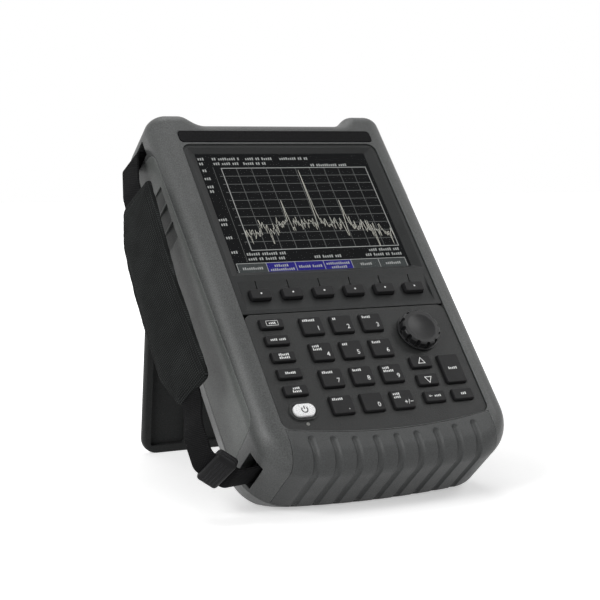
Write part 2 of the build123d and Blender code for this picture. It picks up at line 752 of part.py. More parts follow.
# Rear shell, tapering in to the rear face, with the flat foot that it stands on
foot_plane = Plane(
    origin=(0, 0, -foot_depth),
    x_dir=(1, 0, 0),
    z_dir=(0, cos(radians(LEAN)), sin(radians(LEAN))),
)
recess_base = stand_tip - STAND_END_GAP
recess_top = hinge_y + stand_barrel + STAND_FLOOR_GAP
rear_top = top_edge - REAR_TOP_DROP
with BuildPart() as rear_case:
    with BuildSketch(Plane.XY.offset(-PARTING_DEPTH)):
        add(case_outline(0, 0, top_edge, CORNER_ROUND, TOP_ROUND))
    with BuildSketch(Plane.XY.offset(-body_depth)):
        add(case_outline(REAR_INSET, REAR_BASE_LIFT, rear_top, CORNER_ROUND - TOP_ROUND, TOP_ROUND))
    loft(ruled=True)
    fillet(rear_case.faces().sort_by(Axis.Z)[0].edges(), REAR_EDGE_ROUND)
    split(bisect_by=foot_plane, keep=Keep.TOP)
    # Hollow, with posts for the screws
    with BuildSketch(Plane.XY.offset(-PARTING_DEPTH)):
        with Locations((0, (cavity_top + BUMPER_HEIGHT) / 2)):
            RectangleRounded(2 * (stand_half + STAND_RIM), cavity_top - BUMPER_HEIGHT, TOP_ROUND)
        with Locations(*screw_places):
            Circle(SCREW_POST_RADIUS, mode=Mode.SUBTRACT)
    extrude(amount=rear_floor + PARTING_DEPTH, mode=Mode.SUBTRACT)
    # Deck between the horns, and the seal's groove
    with BuildSketch(Plane.XY.offset(-PARTING_DEPTH)):
        with Locations((0, deck_level + OVERRUN)):
            Rectangle(2 * DECK_HALF_WIDTH, 2 * OVERRUN)
    extrude(amount=-body_depth, mode=Mode.SUBTRACT)
    with BuildSketch(Plane.XY.offset(-PARTING_DEPTH)):
        add(gasket_outline(PRESS_CLEARANCE))
    extrude(amount=-GASKET_DEPTH - PRESS_CLEARANCE, mode=Mode.SUBTRACT)
    # Recess that the stand folds into
    with BuildSketch(Plane.XY.offset(recess_floor)):
        with Locations((0, (recess_base + recess_top) / 2)):
            RectangleRounded(2 * (stand_half + STAND_SIDE_GAP), recess_top - recess_base, STAND_EDGE)
    extrude(amount=-body_depth, mode=Mode.SUBTRACT)
    # Ears for the hinge pins
    for side in (-1, 1):
        with BuildSketch(Plane.YZ.offset(side * ear_x - EAR_WIDTH / 2)):
            with Locations((hinge_y, hinge_z)):
                Circle(stand_barrel)
            with Locations((hinge_y, (hinge_z + rear_floor) / 2)):
                Rectangle(2 * stand_barrel, rear_floor - hinge_z)
        extrude(amount=EAR_WIDTH)
    with BuildSketch(Plane.YZ.offset(-ear_x - EAR_WIDTH)):
        with Locations((hinge_y, hinge_z)):
            Circle(STAND_PIN_RADIUS + RUNNING_FIT)
    extrude(amount=2 * (ear_x + EAR_WIDTH), mode=Mode.SUBTRACT)
    # Screw holes with sunk heads
    with BuildSketch(Plane.XY.offset(-body_depth)):
        with Locations(*screw_places):
            Circle(SCREW_RADIUS + PRESS_CLEARANCE)
    extrude(amount=REAR_DEPTH, mode=Mode.SUBTRACT)
    with BuildSketch(Plane.XY.offset(-body_depth)):
        with Locations(*screw_places):
            Circle(SCREW_HEAD_RADIUS + SEAM)
    extrude(amount=SCREW_HEAD + SCREW_SINK, mode=Mode.SUBTRACT)
    # Grooves of the bumper run out at the front of the foot
    add(groove_cuts.part, mode=Mode.SUBTRACT)
hand_in("rear_case", rear_case.part)

# Screws that hold the shells together
screw_seat = SCREW_HEAD + SCREW_SINK - body_depth
with BuildPart() as case_screws:
    with BuildSketch(Plane.XY.offset(screw_seat)):
        with Locations(*screw_places):
            Circle(SCREW_HEAD_RADIUS)
    extrude(amount=-SCREW_HEAD)
    with BuildSketch(Plane.XY.offset(screw_seat)):
        with Locations(*screw_places):
            Circle(SCREW_RADIUS)
    extrude(amount=-PARTING_DEPTH - screw_seat + SCREW_BITE - SEAM)
    with BuildSketch(Plane.XY.offset(screw_seat - SCREW_HEAD)):
        with Locations(*screw_places):
            RegularPolygon(SCREW_RECESS, 6)
    extrude(amount=SCREW_RECESS_DEPTH, mode=Mode.SUBTRACT)
hand_in("case_screws", case_screws.part)

# Bottom bumper, ribbed by the grooves under a smooth band
with BuildPart() as bottom_bumper:
    add(outer_form)
    add(bumper_seat, mode=Mode.SUBTRACT)
    with BuildSketch(Plane.XY.offset(BUMPER_RIM - PARTING_DEPTH)):
        add(bumper_outline(0))
    extrude(amount=PARTING_DEPTH, mode=Mode.INTERSECT)
    add(groove_cuts.part, mode=Mode.SUBTRACT)
hand_in("bottom_bumper", bottom_bumper.part)

# Side covers, each with a bank of louvres that slope in to the slots
with BuildPart() as louvre_cuts:
    add(vent_slots.part)
    for place in louvre_places:
        with BuildSketch(Plane.XZ.offset(-place)):
            with BuildLine():
                Polyline(
                    (COVER_THICKNESS - half_width, -LOUVRE_FRONT_DEPTH),
                    (-COVER_THICKNESS - half_width, -LOUVRE_FRONT_DEPTH),
                    (-COVER_THICKNESS - half_width, -LOUVRE_FRONT_DEPTH - 2 * LOUVRE_RUN),
                    close=True,
                )
            make_face()
        extrude(amount=-LOUVRE_LENGTH)

with BuildPart() as side_cover_left:
    add(outer_form)
    add(cover_seat, mode=Mode.SUBTRACT)
    with BuildSketch(Plane.YZ.offset(-half_width - OVERRUN)):
        add(cover_outline(0))
    extrude(amount=half_width, mode=Mode.INTERSECT)
    add(louvre_cuts.part, mode=Mode.SUBTRACT)
hand_in("side_cover_left", side_cover_left.part)

with BuildPart() as side_cover_right:
    add(mirror(side_cover_left.part, about=Plane.YZ, mode=Mode.PRIVATE))
    with BuildSketch(Plane.YZ.offset(cover_inner_x - SEAM)):
        add(door_outline(BATTERY_DOOR_BASE, BATTERY_DOOR_LENGTH, 0))
        add(door_outline(port_door_base, PORT_DOOR_LENGTH, 0))
    extrude(amount=OVERRUN, mode=Mode.SUBTRACT)
hand_in("side_cover_right", side_cover_right.part)

# Doors in the right cover, with a finger groove each
door_outer = COVER_THICKNESS - SEAM
grip_z = -DOOR_FRONT_DEPTH - DOOR_GRIP_DEPTH
with BuildPart() as battery_door:
    with BuildSketch(Plane.YZ.offset(cover_inner_x + SEAM)):
        add(door_outline(BATTERY_DOOR_BASE, BATTERY_DOOR_LENGTH, SEAM))
    extrude(amount=door_outer)
    with BuildSketch(Plane.YZ.offset(cover_inner_x - DOOR_PLUG)):
        add(door_outline(BATTERY_DOOR_BASE, BATTERY_DOOR_LENGTH, DOOR_PLUG_INSET))
    extrude(amount=DOOR_PLUG + SEAM)
    with BuildSketch(Plane.YZ.offset(half_width - DOOR_GRIP_DEPTH)):
        with Locations((battery_middle, -DOOR_FRONT_DEPTH - DOOR_WIDTH / 2)):
            SlotOverall(2 * DOOR_GRIP_LENGTH, DOOR_GRIP_LENGTH)
    extrude(amount=OVERRUN, mode=Mode.SUBTRACT)
hand_in("battery_door", battery_door.part)

with BuildPart() as port_door:
    with BuildSketch(Plane.YZ.offset(cover_inner_x + SEAM)):
        add(door_outline(port_door_base, PORT_DOOR_LENGTH, SEAM))
    extrude(amount=door_outer)
    with BuildSketch(Plane.YZ.offset(half_width - DOOR_GRIP_DEPTH)):
        with Locations((port_door_base + PORT_DOOR_LENGTH / 2, grip_z)):
            SlotOverall(DOOR_GRIP_LENGTH, 4 * DOOR_GRIP_DEPTH)
    extrude(amount=OVERRUN, mode=Mode.SUBTRACT)
hand_in("port_door", port_door.part)

# Front panels
key_spread = 2 * KEY_GAP
with BuildPart() as screen_bezel:
    with BuildSketch(Plane.XY.offset(panel_back)):
        add(panel_outline(0, bezel_top))
        with Locations((0, bezel_base - KEYPAD_HEIGHT)):
            Rectangle(2 * half_width, 2 * KEYPAD_HEIGHT, mode=Mode.SUBTRACT)
    extrude(amount=PANEL_THICKNESS)
    # Bevelled opening in front of the display
    with BuildSketch(Plane.XY.offset(panel_front)):
        with Locations((0, screen_middle)):
            Rectangle(SCREEN_WIDTH + 2 * BEVEL_SIDE, SCREEN_HEIGHT + 2 * BEVEL_TOP)
    with BuildSketch(Plane.XY.offset(panel_front - BEVEL_DEPTH)):
        with Locations((0, screen_middle)):
            Rectangle(SCREEN_WIDTH, SCREEN_HEIGHT)
    loft(ruled=True, mode=Mode.SUBTRACT)
    with BuildSketch(Plane.XY.offset(panel_back)):
        with Locations((0, screen_middle)):
            Rectangle(SCREEN_WIDTH, SCREEN_HEIGHT)
    extrude(amount=PANEL_THICKNESS, mode=Mode.SUBTRACT)
    # Trough that the soft keys stand in, with a leader line up to the display from each key
    with BuildSketch(Plane.YZ.offset(TROUGH_END - panel_half)):
        with Locations((soft_y, panel_front - TROUGH_DEPTH + TROUGH_RADIUS)):
            Circle(TROUGH_RADIUS)
    extrude(amount=2 * (panel_half - TROUGH_END), mode=Mode.SUBTRACT)
    leader_y = soft_y + SOFT_KEY_HEIGHT / 2 + LEADER_LENGTH / 2 + 2 * KEY_GAP
    with BuildSketch(Plane.XY.offset(panel_front - TROUGH_DEPTH - LEADER_DEPTH)):
        for name, x, y, width, height in soft_keys:
            with Locations((x, leader_y)):
                SlotOverall(LEADER_LENGTH, LEADER_WIDTH, rotation=90)
            with Locations((x, leader_y - LEADER_LENGTH / 2 + LEADER_DOT)):
                Circle(LEADER_DOT)
    extrude(amount=OVERRUN, mode=Mode.SUBTRACT)
    with BuildSketch(Plane.XY.offset(panel_back)):
        for name, x, y, width, height in soft_keys:
            with Locations((x, y)):
                RectangleRounded(width + key_spread, height + key_spread, KEY_CORNER + KEY_GAP)
    extrude(amount=OVERRUN, mode=Mode.SUBTRACT)
hand_in("screen_bezel", screen_bezel.part)

with BuildPart() as keypad_panel:
    with BuildSketch(Plane.XY.offset(panel_back)):
        add(panel_outline(0, keypad_top))
    extrude(amount=PANEL_THICKNESS)
    with BuildSketch(Plane.XY.offset(panel_front)):
        with Locations((power_x, power_y)):
            SlotOverall(POWER_KEY_WIDTH + 2 * POWER_COLLAR, POWER_KEY_HEIGHT + 2 * POWER_COLLAR)
    extrude(amount=POWER_COLLAR_RISE)
    with BuildSketch(Plane.XY.offset(panel_back)):
        for name, x, y, width, height in panel_keys:
            with Locations((x, y)):
                RectangleRounded(width + key_spread, height + key_spread, KEY_CORNER + KEY_GAP)
        with Locations((power_x, power_y)):
            SlotOverall(POWER_KEY_WIDTH + key_spread, POWER_KEY_HEIGHT + key_spread)
        with Locations((power_x, light_y)):
            Circle(LIGHT_RADIUS + PRESS_CLEARANCE)
        with Locations((knob_x, knob_y)):
            Circle(KNOB_STEM_RADIUS + KNOB_BUSH_WALL + PRESS_CLEARANCE)
    extrude(amount=OVERRUN, mode=Mode.SUBTRACT)
hand_in("keypad_panel", keypad_panel.part)

with BuildPart() as name_strip:
    with BuildSketch(Plane.XY.offset(STRIP_PROUD - STRIP_THICKNESS)):
        with Locations((0, strip_base + STRIP_HEIGHT / 2)):
            RectangleRounded(2 * panel_half, STRIP_HEIGHT, STRIP_CORNER - SEAM)
    extrude(amount=STRIP_THICKNESS)
hand_in("name_strip", name_strip.part)

# Display behind its window
with BuildPart() as display_window:
    with BuildSketch(Plane.XY.offset(window_back)):
        with Locations((0, screen_middle)):
            Rectangle(SCREEN_WIDTH + 2 * WINDOW_MARGIN, SCREEN_HEIGHT + 2 * WINDOW_MARGIN)
    extrude(amount=WINDOW_THICKNESS)
hand_in("display_window", display_window.part)

with BuildPart() as display_panel:
    with BuildSketch(Plane.XY.offset(display_back)):
        with Locations((0, screen_middle)):
            Rectangle(SCREEN_WIDTH + 2 * DISPLAY_MARGIN, SCREEN_HEIGHT + 2 * DISPLAY_MARGIN)
    extrude(amount=DISPLAY_THICKNESS)
hand_in("display_panel", display_panel.part)


def flanged_key(outline, flange):
    """A key that stands through its panel, held in by a flange behind it."""
    with BuildPart() as key:
        with BuildSketch(Plane.XY.offset(flange_base)):
            add(flange)
        extrude(amount=KEY_FLANGE_THICKNESS)
        with BuildSketch(Plane.XY.offset(flange_top)):
            add(outline)
        extrude(amount=panel_front - flange_top)
        with BuildSketch(Plane.XY.offset(panel_front)):
            add(outline)
        extrude(amount=KEY_RISE, taper=KEY_DRAFT)
        fillet(key.edges().group_by(Axis.Z)[-1], KEY_EDGE)
    return key.part


for name, x, y, width, height in soft_keys + panel_keys:
    with BuildSketch() as key_outline:
        with Locations((x, y)):
            RectangleRounded(width, height, KEY_CORNER)
    with BuildSketch() as key_flange:
        with Locations((x, y)):
            RectangleRounded(width + 2 * KEY_FLANGE, height + 2 * KEY_FLANGE, KEY_CORNER + KEY_FLANGE)
    hand_in(name, flanged_key(key_outline.sketch, key_flange.sketch))

with BuildSketch() as power_outline:
    with Locations((power_x, power_y)):
        SlotOverall(POWER_KEY_WIDTH, POWER_KEY_HEIGHT)
with BuildSketch() as power_flange:
    with Locations((power_x, power_y)):
        SlotOverall(POWER_KEY_WIDTH + 2 * KEY_FLANGE, POWER_KEY_HEIGHT + 2 * KEY_FLANGE)
hand_in("power_key", flanged_key(power_outline.sketch, power_flange.sketch))

with BuildPart() as status_light:
    with BuildSketch(Plane.XY.offset(mat_front)):
        with Locations((power_x, light_y)):
            Circle(LIGHT_RADIUS)
    extrude(amount=panel_front + STRIP_PROUD - mat_front)
hand_in("status_light", status_light.part)

# Knob on its encoder
knob_base = panel_front + KNOB_CLEARANCE
knob_top = knob_base + KNOB_HEIGHT
dish_sphere = (KNOB_DISH_RADIUS**2 + KNOB_DISH_DEPTH**2) / (2 * KNOB_DISH_DEPTH)
encoder_top = flange_top
bush_radius = KNOB_STEM_RADIUS + KNOB_BUSH_WALL
with BuildPart() as knob:
    with BuildSketch(Plane.XY.offset(knob_base)):
        with Locations((knob_x, knob_y)):
            Circle(KNOB_RADIUS)
    extrude(amount=KNOB_HEIGHT)
    fillet(knob.edges().group_by(Axis.Z)[-1], KNOB_EDGE)
    with Locations((knob_x, knob_y, knob_top - KNOB_DISH_DEPTH + dish_sphere)):
        Sphere(dish_sphere, mode=Mode.SUBTRACT)
    with BuildSketch(Plane.XY.offset(knob_base)):
        with Locations((knob_x, knob_y)):
            with PolarLocations(KNOB_RADIUS, KNOB_NOTCHES):
                Circle(KNOB_NOTCH_RADIUS)
    extrude(amount=KNOB_HEIGHT + OVERRUN, mode=Mode.SUBTRACT)
    with BuildSketch(Plane.XY.offset(knob_base)):
        with Locations((knob_x, knob_y)):
            Circle(KNOB_RADIUS + KNOB_SKIRT)
    extrude(amount=KNOB_SKIRT_HEIGHT)
    with BuildSketch(Plane.XY.offset(board_front + KNOB_CLEARANCE)):
        with Locations((knob_x, knob_y)):
            Circle(KNOB_STEM_RADIUS)
    extrude(amount=knob_base - board_front)
hand_in("knob", knob.part)

with BuildPart() as knob_encoder:
    with BuildSketch(Plane.XY.offset(board_front)):
        with Locations((knob_x, knob_y)):
            Rectangle(ENCODER_WIDTH, ENCODER_WIDTH)
    extrude(amount=encoder_top - board_front)
    with BuildSketch(Plane.XY.offset(encoder_top)):
        with Locations((knob_x, knob_y)):
            Circle(bush_radius)
    extrude(amount=panel_front - encoder_top)
    with BuildSketch(Plane.XY.offset(board_front)):
        with Locations((knob_x, knob_y)):
            Circle(KNOB_STEM_RADIUS + RUNNING_FIT)
    extrude(amount=OVERRUN, mode=Mode.SUBTRACT)
hand_in("knob_encoder", knob_encoder.part)

# Mat and board under the keys
key_board_base = light_y - KEY_BOARD_MARGIN
key_board_top = soft_y + SOFT_KEY_HEIGHT / 2 + KEY_BOARD_MARGIN
key_board_half = panel_half - KEY_BOARD_MARGIN
key_board_middle = (key_board_base + key_board_top) / 2
with BuildPart() as key_mat:
    with BuildSketch(Plane.XY.offset(board_front)):
        with Locations((0, key_board_middle)):
            Rectangle(2 * key_board_half, key_board_top - key_board_base)
        with Locations((knob_x, knob_y)):
            Rectangle(ENCODER_WIDTH + 2 * SEAM, ENCODER_WIDTH + 2 * SEAM, mode=Mode.SUBTRACT)
    extrude(amount=MAT_THICKNESS)
hand_in("key_mat", key_mat.part)

with BuildPart() as key_board:
    with BuildSketch(Plane.XY.offset(board_back)):
        with Locations((0, key_board_middle)):
            Rectangle(2 * key_board_half, key_board_top - key_board_base)
    extrude(amount=BOARD_THICKNESS)
hand_in("key_board", key_board.part)

# Chassis plate on the front shell's bosses, with posts to what it carries
cavity_round = SIDE_ROUND - SIDE_WALL
chassis_sag = cavity_round + FRONT_WALL + chassis_front
chassis_half = cavity_half - cavity_round + sqrt(cavity_round**2 - chassis_sag**2) - CHASSIS_FIT
chassis_base = BASE_WALL + CHASSIS_MARGIN
chassis_top = cavity_top - DECK_WALL
main_board_half = cavity_half - MAIN_BOARD_MARGIN
main_board_top = cavity_top - MAIN_BOARD_MARGIN
board_posts = [
    (side * (key_board_half - POST_MARGIN), y)
    for side in (-1, 1)
    for y in (key_board_base + 2 * POST_MARGIN, key_board_top - POST_MARGIN)
]
display_posts = [
    (side * (SCREEN_WIDTH / 2 - POST_MARGIN), screen_middle + end * (SCREEN_HEIGHT / 2 - POST_MARGIN))
    for side in (-1, 1)
    for end in (-1, 1)
]
main_posts = [
    (side * (main_board_half - 2 * POST_MARGIN), y)
    for side in (-1, 1)
    for y in (main_board_base + POST_MARGIN, main_board_top - POST_MARGIN)
]
battery_front = -DOOR_FRONT_DEPTH - (DOOR_WIDTH - BATTERY_THICKNESS) / 2
with BuildPart() as chassis_plate:
    with BuildSketch(Plane.XY.offset(chassis_back)):
        with Locations((0, (chassis_base + chassis_top) / 2)):
            RectangleRounded(2 * chassis_half, chassis_top - chassis_base, CHASSIS_CORNER)
    extrude(amount=CHASSIS_THICKNESS)
    with BuildSketch(Plane.XY.offset(chassis_front)):
        with Locations(*board_posts):
            Circle(POST_RADIUS)
    extrude(amount=board_back - chassis_front)
    with BuildSketch(Plane.XY.offset(chassis_front)):
        with Locations(*display_posts):
            Circle(POST_RADIUS)
    extrude(amount=display_back - chassis_front)
    with BuildSketch(Plane.XY.offset(chassis_back)):
        with Locations(*main_posts):
            Circle(POST_RADIUS)
    extrude(amount=main_board_front - chassis_back)
    with BuildSketch(Plane.XY.offset(chassis_back)):
        with Locations(
            (0, battery_middle - BATTERY_WIDTH / 2 + POST_MARGIN),
            (0, battery_middle + BATTERY_WIDTH / 2 - POST_MARGIN),
        ):
            Rectangle(2 * (half_width - REAR_INSET), RAIL_RIB)
    extrude(amount=battery_front - chassis_back)
hand_in("chassis_plate", chassis_plate.part)

with BuildPart() as main_board:
    with BuildSketch(Plane.XY.offset(main_board_back)):
        with Locations((0, (main_board_base + main_board_top) / 2)):
            Rectangle(2 * main_board_half, main_board_top - main_board_base)
    extrude(amount=BOARD_THICKNESS)
hand_in("main_board", main_board.part)

module_top = cavity_top - RF_MODULE_DROP
with BuildPart() as rf_module:
    with BuildSketch(Plane.XY.offset(main_board_back)):
        with Locations((0, module_top - RF_MODULE_HEIGHT / 2)):
            Rectangle(RF_MODULE_WIDTH, RF_MODULE_HEIGHT)
    extrude(amount=-RF_MODULE_DEPTH)
hand_in("rf_module", rf_module.part)

with BuildPart() as battery_pack:
    with BuildSketch(Plane.XY.offset(battery_front - BATTERY_THICKNESS)):
        with Locations((battery_end - BATTERY_LENGTH / 2, battery_middle)):
            RectangleRounded(BATTERY_LENGTH, BATTERY_WIDTH, BATTERY_CORNER)
    extrude(amount=BATTERY_THICKNESS)
hand_in("battery_pack", battery_pack.part)

# Sockets behind the port door
socket_face = half_width - SOCKET_SETBACK
socket_widths = [LAN_WIDTH, USB_WIDTH, POWER_JACK_WIDTH]
socket_run = sum(socket_widths) + SOCKET_GAP * (len(socket_widths) - 1)
socket_y = port_door_base + (PORT_DOOR_LENGTH + socket_run) / 2
with BuildPart() as port_connectors:
    for width in socket_widths:
        middle = (socket_y - width / 2, main_board_back - SOCKET_HEIGHT / 2)
        with BuildSketch(Plane.YZ.offset(socket_face - SOCKET_DEPTH)):
            with Locations(middle):
                Rectangle(width, SOCKET_HEIGHT)
        extrude(amount=SOCKET_DEPTH)
        with BuildSketch(Plane.YZ.offset(socket_face - SOCKET_MOUTH)):
            with Locations(middle):
                Rectangle(width - 2 * SOCKET_WALL, SOCKET_HEIGHT - 2 * SOCKET_WALL)
        extrude(amount=SOCKET_MOUTH, mode=Mode.SUBTRACT)
        socket_y = socket_y - width - SOCKET_GAP
hand_in("port_connectors", port_connectors.part)


# Coaxial ports on the deck, with stubs down to the radio module
def coaxial_ports(places, radius, length, bore, flange, stub):
    """A row of sockets on the deck, each with a square flange and a pin in its bore."""
    with BuildPart() as row:
        with BuildSketch(Plane.XZ.offset(-deck_level)):
            with Locations(*places):
                RectangleRounded(flange, flange, PORT_FLANGE_CORNER)
        extrude(amount=-PORT_FLANGE_THICKNESS)
        with BuildSketch(Plane.XZ.offset(-deck_level)):
            with Locations(*places):
                Circle(radius)
        extrude(amount=-length)
        with BuildSketch(Plane.XZ.offset(-deck_level - length)):
            with Locations(*places):
                Circle(bore)
                Circle(PORT_PIN_RADIUS, mode=Mode.SUBTRACT)
        extrude(amount=length * PORT_BORE_SHARE, mode=Mode.SUBTRACT)
        with BuildSketch(Plane.XZ.offset(-deck_level)):
            with Locations(*places):
                Circle(stub)
        extrude(amount=deck_level - module_top)
    return row.part


with BuildPart() as top_connectors:
    add(coaxial_ports(
        big_ports, BIG_PORT_RADIUS, BIG_PORT_LENGTH, BIG_PORT_BORE, BIG_PORT_FLANGE, BIG_PORT_STUB,
    ))
    add(coaxial_ports(
        small_ports, SMALL_PORT_RADIUS, SMALL_PORT_LENGTH, SMALL_PORT_BORE, SMALL_PORT_FLANGE,
        SMALL_PORT_STUB,
    ))
hand_in("top_connectors", top_connectors.part)

# Tilt stand, drawn folded into its recess and then swung open
pocket_span = 2 * (stand_half - STAND_BORDER)
pocket_pitch = (pocket_span + STAND_RIB) / STAND_POCKETS
pocket_top = hinge_y - STAND_HINGE_BAND
pocket_base = stand_tip + STAND_BORDER
bore_half = EAR_WIDTH / 2 + PIN_OVERHANG + SEAM
with BuildPart() as stand_folded:
    with BuildSketch(Plane.XY.offset(-body_depth)):
        with BuildLine():
            FilletPolyline(
                (-stand_half, hinge_y), (-stand_half, stand_tip),
                (stand_half, stand_tip), (stand_half, hinge_y),
                radius=[STAND_CORNER, STAND_CORNER],
            )
            Line((stand_half, hinge_y), (-stand_half, hinge_y))
        make_face()
    extrude(amount=STAND_THICKNESS)
    layers = stand_folded.edges().group_by(Axis.Z)
    stand_rims = layers[0] + layers[-1]
    fillet(stand_rims.filter_by_position(Axis.Y, stand_tip, hinge_y - STAND_EDGE), STAND_EDGE)
    with BuildSketch(Plane.YZ.offset(-stand_half)):
        with Locations((hinge_y, hinge_z)):
            Circle(stand_barrel)
    extrude(amount=2 * stand_half)
    # Pockets between ribs on the inner face
    with BuildSketch(Plane.XY.offset(hinge_z + stand_barrel - STAND_POCKET_DEPTH)):
        with Locations((0, (pocket_top + pocket_base) / 2)):
            with GridLocations(pocket_pitch, 0, STAND_POCKETS, 1):
                RectangleRounded(pocket_pitch - STAND_RIB, pocket_top - pocket_base, STAND_POCKET_CORNER)
    extrude(amount=OVERRUN, mode=Mode.SUBTRACT)
    # Notches round the ears, and bores for the pins
    notch_base = hinge_y - stand_barrel - STAND_FLOOR_GAP
    with BuildSketch(Plane.XY.offset(-body_depth)):
        with Locations((-ear_x, notch_base + OVERRUN / 2), (ear_x, notch_base + OVERRUN / 2)):
            Rectangle(EAR_WIDTH + 2 * SEAM, OVERRUN)
    extrude(amount=OVERRUN, mode=Mode.SUBTRACT)
    for side in (-1, 1):
        with BuildSketch(Plane.YZ.offset(side * ear_x - bore_half)):
            with Locations((hinge_y, hinge_z)):
                Circle(STAND_PIN_RADIUS + RUNNING_FIT)
        extrude(amount=2 * bore_half, mode=Mode.SUBTRACT)
hinge_place = Location((0, hinge_y, hinge_z))
swing = hinge_place * Location((0, 0, 0), (STAND_ANGLE, 0, 0)) * hinge_place.inverse()
hand_in("tilt_stand", stand_folded.part.moved(swing))

with BuildPart() as stand_pins:
    for side in (-1, 1):
        with BuildSketch(Plane.YZ.offset(side * ear_x - EAR_WIDTH / 2 - PIN_OVERHANG)):
            with Locations((hinge_y, hinge_z)):
                Circle(STAND_PIN_RADIUS)
        extrude(amount=EAR_WIDTH + 2 * PIN_OVERHANG)
hand_in("stand_pins", stand_pins.part)

# Hand strap: bars in the case, webbing round both of them, and the pad that the webbing runs through
with BuildPart() as strap_bars:
    with BuildSketch(strap_plane):
        with Locations(bar_top, bar_low):
            Circle(BAR_RADIUS)
    extrude(amount=WEBBING_WIDTH / 2 + POCKET_SIDE_GAP + BAR_GRIP, both=True)
hand_in("strap_bars", strap_bars.part)


def webbing_run(thickness, half):
    """The webbing's run from bar to bar, as a solid of a given thickness and half width."""
    with BuildPart() as run:
        with BuildSketch(strap_plane):
            with BuildLine():
                FilletPolyline(*webbing_points, radius=webbing_bends)
            trace(line_width=thickness)
        extrude(amount=half, both=True)
    return run.part


with BuildPart() as strap_webbing:
    add(webbing_run(WEBBING_THICKNESS, WEBBING_WIDTH / 2))
    with BuildSketch(strap_plane):
        with Locations(bar_top, bar_low):
            Circle(loop_radius + WEBBING_THICKNESS / 2)
    extrude(amount=WEBBING_WIDTH / 2, both=True)
    with BuildSketch(strap_plane):
        with Locations(bar_top, bar_low):
            Circle(loop_radius - WEBBING_THICKNESS / 2)
    extrude(amount=WEBBING_WIDTH, both=True, mode=Mode.SUBTRACT)
hand_in("strap_webbing", strap_webbing.part)

# Pad with a crowned section, its rear edge drawn in at both ends
lead_share = PAD_LEAD / (pad_top + PAD_LEAD - pad_middle)
pad_corners = [strap_plane.from_local_coords(webbing_points[corner]) for corner in (2, 3, 4)]
pad_points = [
    pad_corners[0] + (pad_corners[1] - pad_corners[0]) * lead_share,
    pad_corners[1],
    pad_corners[2] + (pad_corners[1] - pad_corners[2]) * lead_share,
]
pad_fall = (pad_points[1] - pad_points[0]).normalized()
pad_section = Plane(origin=pad_points[0], x_dir=strap_plane.z_dir, z_dir=pad_fall)
pad_side = Plane(origin=strap_plane.origin, x_dir=strap_plane.y_dir, z_dir=strap_plane.x_dir)
pad_half = PAD_WIDTH / 2
with BuildPart() as strap_pad:
    with BuildLine() as pad_path:
        FilletPolyline(*pad_points, radius=PAD_BEND)
    with BuildSketch(pad_section) as pad_lens:
        with BuildLine():
            ThreePointArc((-pad_half, PAD_EDGE / 2), (0, PAD_CROWN / 2), (pad_half, PAD_EDGE / 2))
            Line((pad_half, PAD_EDGE / 2), (pad_half, -PAD_EDGE / 2))
            ThreePointArc((pad_half, -PAD_EDGE / 2), (0, -PAD_CROWN / 2), (-pad_half, -PAD_EDGE / 2))
            Line((-pad_half, -PAD_EDGE / 2), (-pad_half, PAD_EDGE / 2))
        make_face()
        fillet(pad_lens.vertices(), PAD_CORNER)
    sweep(path=pad_path.line)
    taper_low = -pad_half - PAD_TAPER_WIDTH
    taper_high = -pad_half + 2 * PAD_TAPER_WIDTH
    with BuildSketch(pad_side):
        for end, way in ((pad_top, 1), (pad_base, -1)):
            with BuildLine():
                Polyline(
                    (end - 2 * way * PAD_TAPER_LENGTH, taper_low),
                    (end + way * PAD_TAPER_LENGTH, taper_high),
                    (end + way * PAD_TAPER_LENGTH, taper_low),
                    close=True,
                )
            make_face()
    extrude(amount=half_width, both=True, mode=Mode.SUBTRACT)
    add(
        webbing_run(WEBBING_THICKNESS + 2 * PAD_SLOT_GAP, WEBBING_WIDTH / 2 + PAD_SLOT_GAP),
        mode=Mode.SUBTRACT,
    )
hand_in("strap_pad", strap_pad.part)

# Buckle on the webbing's lower turn, ribbed on its outer face
turn_high = strap_plane.from_local_coords(webbing_points[6])
turn_low = strap_plane.from_local_coords(webbing_points[7])
buckle_plane = Plane(
    origin=(turn_high + turn_low) / 2,
    x_dir=turn_low - turn_high,
    z_dir=strap_plane.z_dir,
)
channel = WEBBING_THICKNESS + 2 * PAD_SLOT_GAP
buckle_height = channel + 2 * BUCKLE_WALL
buckle_half = WEBBING_WIDTH / 2 + PAD_SLOT_GAP + BUCKLE_WALL
rib_pitch = BUCKLE_LENGTH / BUCKLE_RIBS
with BuildPart() as strap_buckle:
    with BuildSketch(buckle_plane):
        Rectangle(BUCKLE_LENGTH, buckle_height)
        with Locations((0, -buckle_height / 2)):
            with GridLocations(rib_pitch, 0, BUCKLE_RIBS - 1, 1):
                Rectangle(rib_pitch * BUCKLE_RIB_SHARE, 2 * BUCKLE_RIB_DEPTH, mode=Mode.SUBTRACT)
    extrude(amount=buckle_half, both=True)
    with BuildSketch(buckle_plane):
        Rectangle(BUCKLE_LENGTH + OVERRUN, channel)
    extrude(amount=WEBBING_WIDTH / 2 + PAD_SLOT_GAP, both=True, mode=Mode.SUBTRACT)
hand_in("strap_buckle", strap_buckle.part)
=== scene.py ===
"""Handheld microwave analyzer: finishes, printed marks, screen picture and hand strap.

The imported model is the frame. Places on the front are in panel measure: x to the right, y up the
panel from the lowest edge, z out of the front of the rails, all in metres.
"""

import json
from contextlib import contextmanager
from math import copysign, cos, pi, radians, sin

import bpy
from bpy.props import FloatProperty, FloatVectorProperty, IntProperty, PointerProperty
from mathutils import Matrix, Vector, noise


